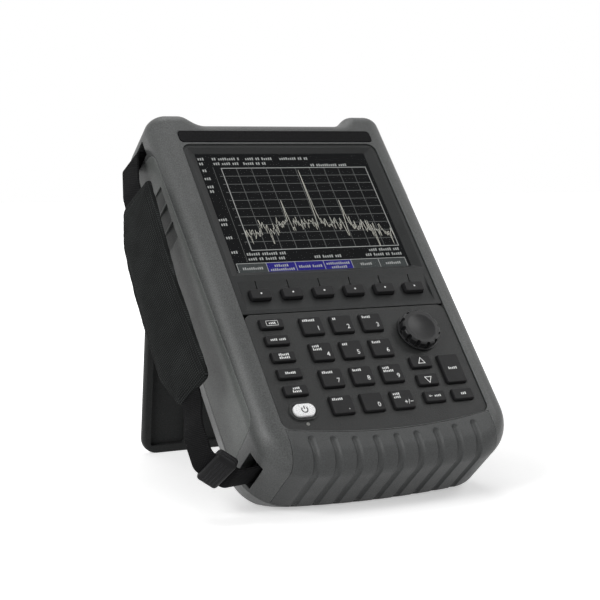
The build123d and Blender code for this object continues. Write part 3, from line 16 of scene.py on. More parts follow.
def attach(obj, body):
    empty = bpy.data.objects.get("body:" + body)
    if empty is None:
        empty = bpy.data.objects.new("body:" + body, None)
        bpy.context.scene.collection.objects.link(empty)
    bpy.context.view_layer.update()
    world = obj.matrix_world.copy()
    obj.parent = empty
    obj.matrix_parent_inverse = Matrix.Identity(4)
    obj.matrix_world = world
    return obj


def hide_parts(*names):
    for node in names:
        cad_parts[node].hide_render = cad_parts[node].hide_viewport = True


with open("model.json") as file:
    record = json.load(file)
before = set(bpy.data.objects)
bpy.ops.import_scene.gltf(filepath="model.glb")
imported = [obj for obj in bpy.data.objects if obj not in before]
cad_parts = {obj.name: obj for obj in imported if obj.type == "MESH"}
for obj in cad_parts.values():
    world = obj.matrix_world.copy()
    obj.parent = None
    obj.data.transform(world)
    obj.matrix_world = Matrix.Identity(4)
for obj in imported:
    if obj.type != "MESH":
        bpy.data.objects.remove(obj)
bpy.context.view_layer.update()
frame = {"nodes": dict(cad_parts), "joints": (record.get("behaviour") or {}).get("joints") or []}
nodes = frame["nodes"]

bl_info = {
    "name": "Handheld analyzer looks",
    "version": (1, 0, 0),
    "blender": (4, 5, 0),
    "location": "View3D > Sidebar > Analyzer",
    "description": "Finishes, printed marks, screen picture and hand strap of a handheld analyzer",
    "category": "Object",
}

MM = 0.001


# Measures of the front panel and of the strap's plane

STRAP_TILT = radians(12)
STRAP_DEPTH = 33 * MM


def panel_stance():
    """Matrix from panel measure to the frame, read from the knob's axis and the front shell."""
    axis = next(joint["axis"] for joint in frame["joints"] if joint["name"] == "knob_turn")
    out = Vector(axis).normalized()
    right = Vector((1, 0, 0))
    up = out.cross(right)
    turn = Matrix((right, up, out)).transposed()
    places = [turn.transposed() @ vertex.co for vertex in nodes["front_case"].data.vertices]
    low = min(place.y for place in places)
    front = max(place.z for place in places)
    return Matrix.Translation(turn @ Vector((0, low, front))) @ turn.to_4x4()


STANCE = panel_stance()
STANCE_BACK = STANCE.inverted()


def panel_box(node):
    """Lowest and highest corner of a node, in panel measure."""
    places = [STANCE_BACK @ vertex.co for vertex in nodes[node].data.vertices]
    low = Vector([min(values) for values in zip(*places)])
    high = Vector([max(values) for values in zip(*places)])
    return low, high


def strap_stance():
    """Matrix from the strap's plane to the frame: x from the left cover inwards, y up the panel."""
    side = panel_box("side_cover_left")[0].x
    return STANCE @ Matrix((
        (cos(STRAP_TILT), 0, sin(STRAP_TILT), side),
        (0, 1, 0, 0),
        (-sin(STRAP_TILT), 0, cos(STRAP_TILT), -STRAP_DEPTH),
        (0, 0, 0, 1),
    ))


STRAP = strap_stance()


# Sizes and colours that a user would change

def colour_setting(name, description, default):
    """A colour property with its name, description and default."""
    return FloatVectorProperty(
        name=name, description=description, subtype="COLOR", size=4, min=0, max=1,
        default=(*default, 1),
    )


def length_setting(name, description, default):
    """A length property in metres."""
    return FloatProperty(name=name, description=description, unit="LENGTH", default=default)


def power_setting(name, description, default):
    """A lamp's power in watts."""
    return FloatProperty(name=name, description=description, unit="POWER", default=default)


class CaseColours(bpy.types.PropertyGroup):
    """Colours of the moulded pieces."""

    rail: colour_setting("Rails", "Soft-touch shells of the case", (0.058, 0.0605, 0.0597))
    cover: colour_setting("Covers", "Side covers and doors", (0.1, 0.106, 0.102))
    bumper: colour_setting("Bumper", "Ribbed bottom bumper", (0.042, 0.044, 0.044))
    bezel: colour_setting("Bezel", "Panel round the display", (0.0165, 0.0175, 0.0175))
    panel: colour_setting("Key panel", "Panel under the keys", (0.013, 0.0137, 0.0135))
    strip: colour_setting("Name strip", "Bare strip above the bezel", (0.006, 0.006, 0.0065))
    stand: colour_setting("Stand", "Tilt stand", (0.028, 0.029, 0.029))
    key: colour_setting("Keys", "Rubber keys", (0.0085, 0.0085, 0.009))
    knob: colour_setting("Knob", "Knob", (0.009, 0.009, 0.0095))
    power: colour_setting("Power key", "White oval key", (0.88, 0.885, 0.885))
    print: colour_setting("Legends", "Printed marks on the keys", (0.8, 0.81, 0.8))


class ScreenPicture(bpy.types.PropertyGroup):
    """Picture on the display."""

    line: colour_setting("Frame", "Frame of the graph and the marks", (0.36, 0.37, 0.36))
    grid: colour_setting("Grid", "Lines of the grid", (0.12, 0.123, 0.12))
    trace: colour_setting("Trace", "Measured trace", (0.72, 0.71, 0.63))
    blue: colour_setting("Blue labels", "Labels of the chosen soft keys", (0.028, 0.024, 0.18))
    grey: colour_setting("Grey labels", "Labels of the other soft keys", (0.055, 0.06, 0.06))
    width: length_setting("Width", "Width of the picture", 136 * MM)
    height: length_setting("Height", "Height of the picture", 102 * MM)
    points: IntProperty(name="Points", description="Points along the trace", default=240, min=50)
    divisions: IntProperty(name="Divisions", description="Grid divisions each way", default=10, min=2)


class StrapSizes(bpy.types.PropertyGroup):
    """Sizes and colours of the hand strap."""

    webbing_width: length_setting("Webbing width", "Width of the webbing", 22 * MM)
    pad_width: length_setting("Pad width", "Width of the pad", 46 * MM)
    pad_thickness: length_setting("Pad thickness", "Thickness before it is filled", 6 * MM)
    cloth: colour_setting("Pad cloth", "Woven cover of the pad", (0.008, 0.0086, 0.0085))
    webbing: colour_setting("Webbing", "Woven webbing", (0.003, 0.003, 0.0032))
    buckle: colour_setting("Buckle", "Moulded buckle", (0.006, 0.006, 0.0065))


class StageSettings(bpy.types.PropertyGroup):
    """Floor, lights and camera."""

    floor: colour_setting("Floor", "Pale floor", (0.93, 0.93, 0.93))
    key_power: power_setting("Key light", "Large lamp at the left", 13.5)
    top_power: power_setting("Top light", "Lamp overhead", 5)
    fill_power: power_setting("Fill light", "Lamp in front", 2)
    rim_power: power_setting("Rim light", "Lamp above the right rail", 2.6)
    lens: FloatProperty(name="Lens", description="Focal length", unit="CAMERA", default=96)


# Modelling steps that several pieces share

def clear_selection():
    """Leave object mode with nothing selected."""
    if bpy.context.mode != "OBJECT":
        bpy.ops.object.mode_set(mode="OBJECT")
    bpy.ops.object.select_all(action="DESELECT")


def choose(piece):
    """Make one piece the selected and active one."""
    clear_selection()
    piece.select_set(True)
    bpy.context.view_layer.objects.active = piece


@contextmanager
def shaping(piece):
    """Edit mode on one piece, for as long as a with block lasts."""
    choose(piece)
    bpy.ops.object.mode_set(mode="EDIT")
    yield
    bpy.ops.object.mode_set(mode="OBJECT")


def join(pieces):
    """Several pieces as one."""
    clear_selection()
    for piece in pieces:
        piece.select_set(True)
    bpy.context.view_layer.objects.active = pieces[0]
    bpy.ops.object.join()
    return bpy.context.active_object


def copy_piece(piece):
    """A copy of a piece with a mesh of its own."""
    twin = piece.copy()
    twin.data = piece.data.copy()
    bpy.context.collection.objects.link(twin)
    return twin


def apply_modifiers(piece):
    """Apply every modifier of a piece, in order."""
    choose(piece)
    for modifier in list(piece.modifiers):
        bpy.ops.object.modifier_apply(modifier=modifier.name)


def as_mesh(piece):
    """A curve or text as a mesh."""
    choose(piece)
    bpy.ops.object.convert(target="MESH")
    return bpy.context.active_object


def block(size):
    """A block at the origin, to be shaped further."""
    clear_selection()
    bpy.ops.mesh.primitive_cube_add(size=1)
    piece = bpy.context.active_object
    piece.scale = size
    bpy.ops.object.transform_apply(location=False, rotation=False, scale=True)
    return piece


def line_curve(name, points):
    """A curve of straight runs through points in metres."""
    line = bpy.data.curves.new(name, "CURVE")
    line.dimensions = "3D"
    spline = line.splines.new("POLY")
    spline.points.add(len(points) - 1)
    for point, place in zip(spline.points, points):
        point.co = (*place, 1)
    curve = bpy.data.objects.new(name, line)
    bpy.context.collection.objects.link(curve)
    return curve


def settle(piece, name, place, body, material):
    """Bring a finished piece into the frame, give it its finish and let it ride on a body."""
    choose(piece)
    piece.matrix_world = place @ piece.matrix_world
    bpy.ops.object.transform_apply(location=True, rotation=True, scale=True)
    piece.name = name
    piece.data.name = name
    piece.data.materials.clear()
    piece.data.materials.append(material)
    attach(piece, body)


# Shader groups and materials

# Moulded surface: noise scales are per metre
GRAIN_DETAIL = 3
MOTTLE_SCALE, MOTTLE_DETAIL = 28, 4
SMUDGE_SCALE, SMUDGE_DETAIL = 90, 3
SPECK_FROM, SPECK_TO = 0.35, 0.65
BASE_SHADE, MOTTLE_SHADE, SPECK_SHADE = 0.5, 0.3, 0.7
# Lighter edges, partly rubbing and partly a painted highlight: bevel samples and the gain of the edge
# mask
CORNER_SAMPLES, CORNER_GAIN = 4, 5
# Painted shade in crevices, seams and recesses: ambient occlusion samples, its reach and the darkest
# share of the colour
CREVICE_SAMPLES, CREVICE_REACH, CREVICE_PAINTED_SHADE = 6, 1.6 * MM, 0.25
SMUDGE_ROUGHNESS = 0.16
WORN_AND_HIGHLIGHT_LIFT = 0.01
GRAIN_DEPTH = 0.12 * MM

# Woven cloth
THREAD_DISTORTION, THREAD_DETAIL = 0.6, 1
# Gain of the painted highlight on the threads that lie on top
THREAD_HIGHLIGHT = 9
FIBRE_SCALE, FIBRE_DETAIL, FIBRE_HEIGHT = 2600, 3, 0.35
FADE_SCALE, FADE_DETAIL = 60, 3
CLOTH_ROUGHNESS, FIBRE_ROUGHNESS = 0.75, 0.2
CLOTH_GLOSS = 0.06
WEAVE_DEPTH = 0.5 * MM

# Lit pixels and cover glass
PIXEL_SCALE, PIXEL_DETAIL = 700, 2
PIXEL_LEAST, PIXEL_SPREAD = 0.75, 0.5
GLASS_COLOUR, GLASS_IOR = (0.95, 0.96, 0.97, 1), 1.04


def feed(tree, socket, value):
    """Link a socket to another one, or set it to a plain value."""
    if isinstance(value, bpy.types.NodeSocket):
        tree.links.new(value, socket)
    else:
        socket.default_value = value


def add_node(tree, kind, inputs, **settings):
    """A shader node with its settings, and with inputs that are sockets or plain values."""
    node = tree.nodes.new(f"ShaderNode{kind}")
    for name, value in settings.items():
        setattr(node, name, value)
    for name, value in inputs.items():
        feed(tree, node.inputs[name], value)
    return node


def object_place(tree):
    """Object coordinates."""
    return add_node(tree, "TexCoord", {}).outputs["Object"]


def noise_value(tree, place, scale, detail):
    """Noise on given coordinates."""
    inputs = {"Vector": place, "Scale": scale, "Detail": detail}
    return add_node(tree, "TexNoise", inputs).outputs["Fac"]


def math_value(tree, operation, *values):
    """The result of a math node."""
    return add_node(tree, "Math", dict(enumerate(values)), operation=operation).outputs[0]


def scaled_colour(tree, colour, scale):
    """A colour made lighter or darker."""
    node = add_node(tree, "VectorMath", {0: colour, "Scale": scale}, operation="SCALE")
    return node.outputs["Vector"]


def mixed_colour(tree, factor, first, second):
    """A mix of two colours."""
    inputs = {"Factor": factor, "A": first, "B": second}
    return add_node(tree, "Mix", inputs, data_type="RGBA", blend_type="MIX").outputs["Result"]


def new_group(name, inputs, outputs):
    """An empty shader group with named sockets: the group, what comes in and what goes out."""
    group = bpy.data.node_groups.new(name, "ShaderNodeTree")
    for label, kind, default in inputs:
        socket = group.interface.new_socket(label, in_out="INPUT", socket_type=f"NodeSocket{kind}")
        socket.default_value = default
    for label, kind in outputs:
        group.interface.new_socket(label, in_out="OUTPUT", socket_type=f"NodeSocket{kind}")
    start = group.nodes.new("NodeGroupInput")
    end = group.nodes.new("NodeGroupOutput")
    return group, start.outputs, end.inputs


def moulded_group():
    """Grain, faint mottling, painted shade in crevices, and edges lightened by rubbing and by a painted
    highlight, of moulded plastic or rubber.
    """
    group, given, result = new_group(
        "Moulded surface",
        (
            ("Colour", "Color", (0.1, 0.1, 0.1, 1)),
            ("Worn colour", "Color", (0.2, 0.2, 0.2, 1)),
            ("Grain", "Float", 2500), ("Roughness", "Float", 0.5),
            ("Edge", "Float", 0.5 * MM), ("Wear", "Float", 0.5),
        ),
        (("Colour", "Color"), ("Roughness", "Float"), ("Height", "Float"), ("Normal", "Vector")),
    )
    place = object_place(group)
    grain = noise_value(group, place, given["Grain"], GRAIN_DETAIL)
    mottle = noise_value(group, place, MOTTLE_SCALE, MOTTLE_DETAIL)
    smudge = noise_value(group, place, SMUDGE_SCALE, SMUDGE_DETAIL)

    # Edges are lighter where the rounded normal turns away from the face: partly rubbed by use, partly a
    # painted highlight along the edges
    bevel = add_node(group, "Bevel", {"Radius": given["Edge"]}, samples=CORNER_SAMPLES)
    rounded = bevel.outputs["Normal"]
    plain = add_node(group, "NewGeometry", {}).outputs["Normal"]
    turn = add_node(group, "VectorMath", {0: rounded, 1: plain}, operation="DOT_PRODUCT")
    corner = math_value(group, "SUBTRACT", 1.0, turn.outputs["Value"])
    for gain in (CORNER_GAIN, smudge, given["Wear"]):
        corner = math_value(group, "MULTIPLY", corner, gain)
    corner = math_value(group, "MINIMUM", corner, 1.0)

    spread = {"Value": grain, "From Min": SPECK_FROM, "From Max": SPECK_TO}
    speck = add_node(group, "MapRange", spread).outputs["Result"]
    shade = math_value(group, "MULTIPLY_ADD", mottle, MOTTLE_SHADE, BASE_SHADE)
    shade = math_value(group, "MULTIPLY_ADD", speck, SPECK_SHADE, shade)
    # Painted shade: the colour is darkened where ambient occlusion finds surfaces close by, in crevices,
    # seams and recesses
    open_share = add_node(
        group, "AmbientOcclusion", {"Distance": CREVICE_REACH}, samples=CREVICE_SAMPLES)
    painted_crevice_shade = math_value(
        group, "MULTIPLY_ADD", open_share.outputs["AO"], 1 - CREVICE_PAINTED_SHADE, CREVICE_PAINTED_SHADE)
    shade = math_value(group, "MULTIPLY", shade, painted_crevice_shade)
    tint = scaled_colour(group, given["Colour"], shade)

    # Painted highlight, with rubbing: the edges are mixed towards the lighter edge colour
    feed(group, result["Colour"], mixed_colour(group, corner, tint, given["Worn colour"]))
    rough = math_value(group, "MULTIPLY_ADD", smudge, SMUDGE_ROUGHNESS, given["Roughness"])
    feed(group, result["Roughness"], rough)
    feed(group, result["Height"], speck)
    feed(group, result["Normal"], rounded)
    return group


def woven_group():
    """Crossing threads with loose fibres, in the pitch of a woven strap."""
    group, given, result = new_group(
        "Woven cloth",
        (
            ("Colour", "Color", (0.01, 0.01, 0.01, 1)),
            ("Thread colour", "Color", (0.04, 0.04, 0.04, 1)),
            ("Pitch", "Float", 300), ("Turn", "Vector", (0, 0, 0)),
        ),
        (("Colour", "Color"), ("Roughness", "Float"), ("Height", "Float")),
    )
    place = object_place(group)
    turned = add_node(group, "Mapping", {"Vector": place, "Rotation": given["Turn"]}).outputs["Vector"]
    inputs = {
        "Vector": turned, "Scale": given["Pitch"],
        "Distortion": THREAD_DISTORTION, "Detail": THREAD_DETAIL,
    }
    warp, weft = (add_node(group, "TexWave", inputs, bands_direction=way) for way in ("Y", "Z"))
    weave = math_value(group, "MULTIPLY", warp.outputs["Fac"], weft.outputs["Fac"])
    fibre = noise_value(group, place, FIBRE_SCALE, FIBRE_DETAIL)
    fade = noise_value(group, place, FADE_SCALE, FADE_DETAIL)
    # Painted highlight: where the threads lie on top, the colour is mixed towards the paler thread colour
    light = math_value(group, "MULTIPLY", weave, fade)

    feed(group, result["Colour"], mixed_colour(group, light, given["Colour"], given["Thread colour"]))
    rough = math_value(group, "MULTIPLY_ADD", fibre, FIBRE_ROUGHNESS, CLOTH_ROUGHNESS)
    feed(group, result["Roughness"], rough)
    feed(group, result["Height"], math_value(group, "MULTIPLY_ADD", fibre, FIBRE_HEIGHT, weave))
    return group


def place_group(tree, name, make, inputs):
    """A shader group in a material's tree, built the first time that it is asked for."""
    group = bpy.data.node_groups.get(name) or make()
    return add_node(tree, "Group", inputs, node_tree=group).outputs


def new_material(name):
    """A new material and its tree and shader."""
    material = bpy.data.materials.new(name)
    material.use_nodes = True
    tree = material.node_tree
    return material, tree, tree.nodes["Principled BSDF"]


def moulded(name, colour, roughness, grain=2500, bump=0.25, edge=0.4, wear=0.5, worn=2.2, gloss=0.3):
    """Moulded plastic or rubber, with its rounded edge in millimetres, and the gain in colour of its
    edges, which are lightened by rubbing and by a painted highlight.
    """
    material, tree, shader = new_material(name)
    surface = place_group(tree, "Moulded surface", moulded_group, {
        "Colour": colour,
        # Lighter edge colour, for rubbing and as a painted highlight
        "Worn colour": (*[min(1, part * worn + WORN_AND_HIGHLIGHT_LIFT) for part in colour[:3]], 1),
        "Grain": grain,
        "Roughness": roughness,
        "Edge": edge * MM,
        "Wear": wear,
    })
    relief = add_node(tree, "Bump", {
        "Strength": bump, "Distance": GRAIN_DEPTH,
        "Height": surface["Height"], "Normal": surface["Normal"],
    })
    feed(tree, shader.inputs["Base Color"], surface["Colour"])
    feed(tree, shader.inputs["Roughness"], surface["Roughness"])
    feed(tree, shader.inputs["Normal"], relief.outputs["Normal"])
    shader.inputs["Specular IOR Level"].default_value = gloss
    return material


def metal(name, colour, roughness):
    """Machined or plated metal with fine marks."""
    material = moulded(name, colour, roughness, grain=1800, bump=0.12, edge=0.25, wear=0.3, worn=1.1)
    material.node_tree.nodes["Principled BSDF"].inputs["Metallic"].default_value = 1
    return material


def woven(name, colour, pitch, bump, turn=(0, 0, 0)):
    """Woven cloth or webbing; the threads that lie on top are made paler, a painted highlight."""
    material, tree, shader = new_material(name)
    cloth = place_group(tree, "Woven cloth", woven_group, {
        "Colour": colour,
        "Thread colour": (*[part * THREAD_HIGHLIGHT for part in colour[:3]], 1),
        "Pitch": pitch,
        "Turn": turn,
    })
    relief = add_node(
        tree, "Bump", {"Strength": bump, "Distance": WEAVE_DEPTH, "Height": cloth["Height"]})
    feed(tree, shader.inputs["Base Color"], cloth["Colour"])
    feed(tree, shader.inputs["Roughness"], cloth["Roughness"])
    feed(tree, shader.inputs["Normal"], relief.outputs["Normal"])
    shader.inputs["Specular IOR Level"].default_value = CLOTH_GLOSS
    return material


def glowing(name, colour):
    """Lit part of the display's picture, with the faint unevenness of its pixels."""
    material, tree, shader = new_material(name)
    uneven = noise_value(tree, object_place(tree), PIXEL_SCALE, PIXEL_DETAIL)
    level = math_value(tree, "MULTIPLY_ADD", uneven, PIXEL_SPREAD, PIXEL_LEAST)
    feed(tree, shader.inputs["Emission Color"], scaled_colour(tree, colour[:3], level))
    shader.inputs["Emission Strength"].default_value = 1
    shader.inputs["Base Color"].default_value = (0, 0, 0, 1)
    shader.inputs["Specular IOR Level"].default_value = 0
    return material


def clear_glass(name):
    """Flat cover glass with hardly any reflection."""
    material, _, shader = new_material(name)
    shader.inputs["Roughness"].default_value = 0
    shader.inputs["Base Color"].default_value = GLASS_COLOUR
    shader.inputs["Transmission Weight"].default_value = 1
    shader.inputs["IOR"].default_value = GLASS_IOR
    return material


def dress(names, material):
    """Give carried-over nodes a finish."""
    for name in names:
        for slot in nodes[name].material_slots:
            slot.material = material


# Flat marks: bars are their middle x and y, width and height. Sizes of letters are shares of the
# height of their row

LETTER_WIDTH = 0.44
LETTER_LEAST = 0.7
LETTER_PITCH = 0.74
WORD_GAP = 0.6
SIGN_BOLDNESS = 0.06 * MM
SIGN_RESOLUTION = 3
DOT_CORNERS = 20


def print_words(x, y, counts, height):
    """Bars for a row of unreadable words, from its left end: one bar for each letter."""
    bars = []
    for count in counts:
        for letter in range(count):
            share = LETTER_LEAST + (1 - LETTER_LEAST) * ((letter * 5 + count * 3) % 4) / 3
            bars.append((x, y - height * (1 - share) / 2, height * LETTER_WIDTH, height * share))
            x += height * LETTER_PITCH
        x += height * WORD_GAP
    return bars


def centred_words(x, y, rows, height, pitch=0.0):
    """Rows of such words, centred on a place."""
    bars = []
    for row, counts in enumerate(rows):
        line = print_words(0, y + pitch * ((len(rows) - 1) / 2 - row), counts, height)
        half = (line[0][0] + line[-1][0]) / 2
        bars += [(x + bar[0] - half, *bar[1:]) for bar in line]
    return bars


def outline_bars(x, y, width, height, line):
    """Four bars round a rectangle."""
    return [
        (x, y + height / 2, width + line, line),
        (x, y - height / 2, width + line, line),
        (x - width / 2, y, line, height),
        (x + width / 2, y, line, height),
    ]


def flat_bars(places, level):
    """Flat bars at a level, modelled once and copied."""
    clear_selection()
    bpy.ops.mesh.primitive_plane_add(size=1)
    first = bpy.context.active_object
    bars = []
    for x, y, width, height in places:
        bar = copy_piece(first)
        bar.location = (x, y, level)
        bar.scale = (width, height, 1)
        bars.append(bar)
    bpy.data.objects.remove(first)
    return join(bars)


def flat_sign(sign, x, y, level, size):
    """A plain number or sign, centred on its place."""
    bpy.ops.object.text_add(location=(x, y, level))
    letters = bpy.context.active_object
    letters.data.body = sign
    letters.data.size = size
    letters.data.align_x = "CENTER"
    letters.data.align_y = "CENTER"
    letters.data.resolution_u = SIGN_RESOLUTION
    letters.data.offset = SIGN_BOLDNESS
    return as_mesh(letters)


def flat_dot(x, y, level, radius, corners=DOT_CORNERS, turn=0.0):
    """A flat dot, round or with a few corners."""
    clear_selection()
    bpy.ops.mesh.primitive_circle_add(
        vertices=corners, radius=radius, fill_type="NGON", location=(x, y, level), rotation=(0, 0, turn))
    return bpy.context.active_object


def flat_ring(x, y, level, radius, line, corners, turn=0.0):
    """A flat ring, round or with a few corners."""
    ring = flat_dot(x, y, level, radius, corners, turn)
    with shaping(ring):
        bpy.ops.mesh.select_all(action="SELECT")
        bpy.ops.mesh.inset(thickness=line)
        bpy.ops.mesh.delete(type="FACE")
    return ring


def thicken(piece, rise):
    """Raise flat faces to a thin closed body."""
    with shaping(piece):
        bpy.ops.mesh.select_all(action="SELECT")
        bpy.ops.mesh.extrude_region_move(TRANSFORM_OT_translate={"value": (0, 0, rise)})
        bpy.ops.mesh.select_all(action="SELECT")
        bpy.ops.mesh.normals_make_consistent(inside=False)
    return piece


# Stage

FLOOR_SIZE = 6
FLOOR_ROUGHNESS, FLOOR_GLOSS = 0.7, 0.1
GLOW_INPUTS = {"From Min": 0.15, "From Max": 0.9, "To Min": 0.45, "To Max": 1}
LAMPS_AIM = Vector((0, 0.05, 0.1))
LAMPS = (
    ("key lamp", "key_power", (-1.2, -0.4, 0.85), 0.7),
    ("top lamp", "top_power", (0.05, 0.4, 1.3), 0.8),
    ("fill lamp", "fill_power", (0.6, -1.4, 0.5), 1.0),
    ("rim lamp", "rim_power", (0.95, -0.32, 1.0), 0.4),
)
WORLD_LIGHT = 0.2
WHITE = (1, 1, 1, 1)
# In panel measure, from a camera fitted to the panel's corners and the key grid
CAMERA_RIGHT = Vector((0.8780, -0.3111, 0.3638))
CAMERA_AHEAD = Vector((0.4763, 0.4930, -0.7281))
CAMERA_PLACE = Vector((-534.8, -394.0, 768.7)) * MM
SENSOR_WIDTH = 36
CLIP_START = 0.01


class ANALYZER_OT_stage(bpy.types.Operator):
    """Pale floor, soft lamps, white surroundings and the camera"""

    bl_idname = "analyzer.stage"
    bl_label = "Stage"

    def execute(self, context):
        settings = context.scene.analyzer_stage
        self.floor(settings)
        self.lamps(settings)
        self.world()
        self.camera(settings)
        context.scene.view_settings.view_transform = "Standard"
        return {"FINISHED"}

    def floor(self, settings):
        """A plain floor that looks white away from the object and keeps its shadow."""
        clear_selection()
        bpy.ops.mesh.primitive_plane_add(size=FLOOR_SIZE, location=(0, 0, 0))
        floor = bpy.context.active_object
        floor.name = "floor"
        material, tree, shader = new_material("pale floor")
        shader.inputs["Base Color"].default_value = settings.floor
        shader.inputs["Roughness"].default_value = FLOOR_ROUGHNESS
        shader.inputs["Specular IOR Level"].default_value = FLOOR_GLOSS
        shader.inputs["Emission Color"].default_value = WHITE
        away = add_node(tree, "VectorMath", {0: object_place(tree)}, operation="LENGTH").outputs["Value"]
        glow = add_node(tree, "MapRange", {"Value": away, **GLOW_INPUTS}).outputs["Result"]
        strength = math_value(tree, "MULTIPLY", glow, self.seen_rays(tree))
        feed(tree, shader.inputs["Emission Strength"], strength)
        floor.data.materials.append(material)

    def seen_rays(self, tree):
        """One for rays from the camera, directly or through glass and reflections."""
        rays = add_node(tree, "LightPath", {}).outputs
        seen = math_value(tree, "MAXIMUM", rays["Is Camera Ray"], rays["Is Glossy Ray"])
        return math_value(tree, "MAXIMUM", seen, rays["Is Transmission Ray"])

    def lamps(self, settings):
        """Square lamps that face the object."""
        for name, power, place, size in LAMPS:
            bpy.ops.object.light_add(type="AREA", location=place)
            lamp = bpy.context.active_object
            lamp.name = name
            lamp.data.size = size
            lamp.data.energy = getattr(settings, power)
            lamp.rotation_euler = (LAMPS_AIM - Vector(place)).to_track_quat("-Z", "Y").to_euler()

    def world(self):
        """White where it is seen, and a faint even light."""
        world = bpy.data.worlds.new("studio")
        bpy.context.scene.world = world
        world.use_nodes = True
        tree = world.node_tree
        sky = tree.nodes["Background"].inputs
        strength = math_value(tree, "MULTIPLY_ADD", self.seen_rays(tree), 1 - WORLD_LIGHT, WORLD_LIGHT)
        feed(tree, sky["Strength"], strength)
        sky["Color"].default_value = WHITE

    def camera(self, settings):
        """The photograph's view."""
        bpy.ops.object.camera_add()
        camera = bpy.context.active_object
        camera.name = "camera"
        right = STANCE.to_3x3() @ CAMERA_RIGHT
        ahead = STANCE.to_3x3() @ CAMERA_AHEAD
        turn = Matrix((right, right.cross(ahead), -ahead)).transposed()
        camera.matrix_world = Matrix.Translation(STANCE @ CAMERA_PLACE) @ turn.to_4x4()
        camera.data.lens = settings.lens
        camera.data.sensor_width = SENSOR_WIDTH
        camera.data.clip_start = CLIP_START
        bpy.context.scene.camera = camera


# Case: a finish, its colour setting or colour, the nodes that have it and its surface

# The high edge gains on the covers and the knob make their lighter edges partly rubbing and partly a
# painted highlight
OUTER_FINISHES = (
    ("soft touch grey", "rail", ("front_case", "rear_case"),
     {"roughness": 0.3, "grain": 1500, "bump": 0.5, "edge": 0.8, "wear": 0.7, "gloss": 0.38}),
    ("cover grey", "cover", ("side_cover_left", "side_cover_right", "port_door", "battery_door"),
     {"roughness": 0.36, "grain": 2400, "bump": 0.2, "edge": 0.8, "wear": 1, "worn": 2.6, "gloss": 0.3}),
    ("bumper rubber", "bumper", ("bottom_bumper",),
     {"roughness": 0.36, "grain": 1900, "bump": 0.4, "edge": 0.9, "wear": 0.8, "gloss": 0.35}),
    ("bezel charcoal", "bezel", ("screen_bezel",),
     {"roughness": 0.28, "grain": 3000, "bump": 0.16, "edge": 0.8, "wear": 0.9, "gloss": 0.2}),
    ("key panel grey", "panel", ("keypad_panel",),
     {"roughness": 0.38, "grain": 1500, "bump": 0.6, "edge": 0.8, "wear": 0.9, "gloss": 0.3}),
    ("strip black", "strip", ("name_strip",),
     {"roughness": 0.4, "grain": 900, "bump": 0.03, "wear": 0.1, "gloss": 0.05}),
    ("stand plastic", "stand", ("tilt_stand",),
     {"roughness": 0.5, "grain": 2400, "bump": 0.3, "gloss": 0.15}),
    ("knob black", "knob", ("knob",),
     {"roughness": 0.26, "grain": 2600, "bump": 0.1, "edge": 0.6, "wear": 0.8, "worn": 6, "gloss": 0.25}),
)
# The keys' lighter edges are partly rubbing and partly a painted highlight
KEY_SURFACE = {"roughness": 0.45, "grain": 2800, "bump": 0.2, "edge": 0.3, "worn": 6, "gloss": 0.2}
POWER_SURFACE = {"roughness": 0.3, "grain": 2600, "bump": 0.05, "wear": 0.1}
INNER_FINISHES = (
    ("light lens", (0.2, 0.2, 0.19, 1), ("status_light",), {"roughness": 0.2, "bump": 0.05}),
    ("inner black", (0.02, 0.02, 0.021, 1),
     ("battery_pack", "port_connectors", "case_gasket", "key_mat"), {"roughness": 0.5}),
    ("board green", (0.012, 0.06, 0.025, 1),
     ("key_board", "main_board"), {"roughness": 0.35, "grain": 900}),
)
METAL_FINISHES = (
    ("sheet aluminium", (0.62, 0.63, 0.64, 1), ("chassis_plate", "rf_module"), 0.35),
    ("plain steel", (0.5, 0.5, 0.5, 1), ("knob_encoder", "stand_pins", "strap_bars"), 0.35),
    ("nickel plate", (0.66, 0.63, 0.56, 1), ("top_connectors",), 0.25),
    ("blackened steel", (0.06, 0.06, 0.06, 1), ("case_screws",), 0.4),
)
DISPLAY_BLACK = (0.012, 0.0125, 0.013)


class ANALYZER_OT_case(bpy.types.Operator):
    """Finishes of the shells, covers, panels, keys and the pieces inside"""

    bl_idname = "analyzer.case"
    bl_label = "Case finishes"

    def execute(self, context):
        colours = context.scene.analyzer_case
        for name, setting, pieces, surface in OUTER_FINISHES:
            dress(pieces, moulded(name, getattr(colours, setting), **surface))
        keys = [name for name in nodes if name.endswith("_key") or "_key_" in name]
        dress(keys, moulded("key rubber", colours.key, **KEY_SURFACE))
        dress(["power_key"], moulded("power white", colours.power, **POWER_SURFACE))
        dress(["display_panel"], glowing("display black", DISPLAY_BLACK))
        dress(["display_window"], clear_glass("display glass"))
        for name, colour, pieces, surface in INNER_FINISHES:
            dress(pieces, moulded(name, colour, **surface))
        for name, colour, pieces, roughness in METAL_FINISHES:
            dress(pieces, metal(name, colour, roughness))
        return {"FINISHED"}


# Screen: places are shares of the picture's width from its left and of its height from its top

GRAPH_LEFT, GRAPH_RIGHT = 0.13, 0.984
GRAPH_TOP, GRAPH_BASE = 0.11, 0.81
GRAPH_WIDTH, GRAPH_HEIGHT = GRAPH_RIGHT - GRAPH_LEFT, GRAPH_BASE - GRAPH_TOP
TICK_LEFT, TICK_RIGHT = 0.108, 0.124
MARGIN_LINE = (0.085, 0.1, 0.085, 0.9)
GRID_LINE, TICK_WIDTH, MARGIN_WIDTH, FRAME_LINE = 0.4 * MM, 0.5 * MM, 0.3 * MM, 0.55 * MM
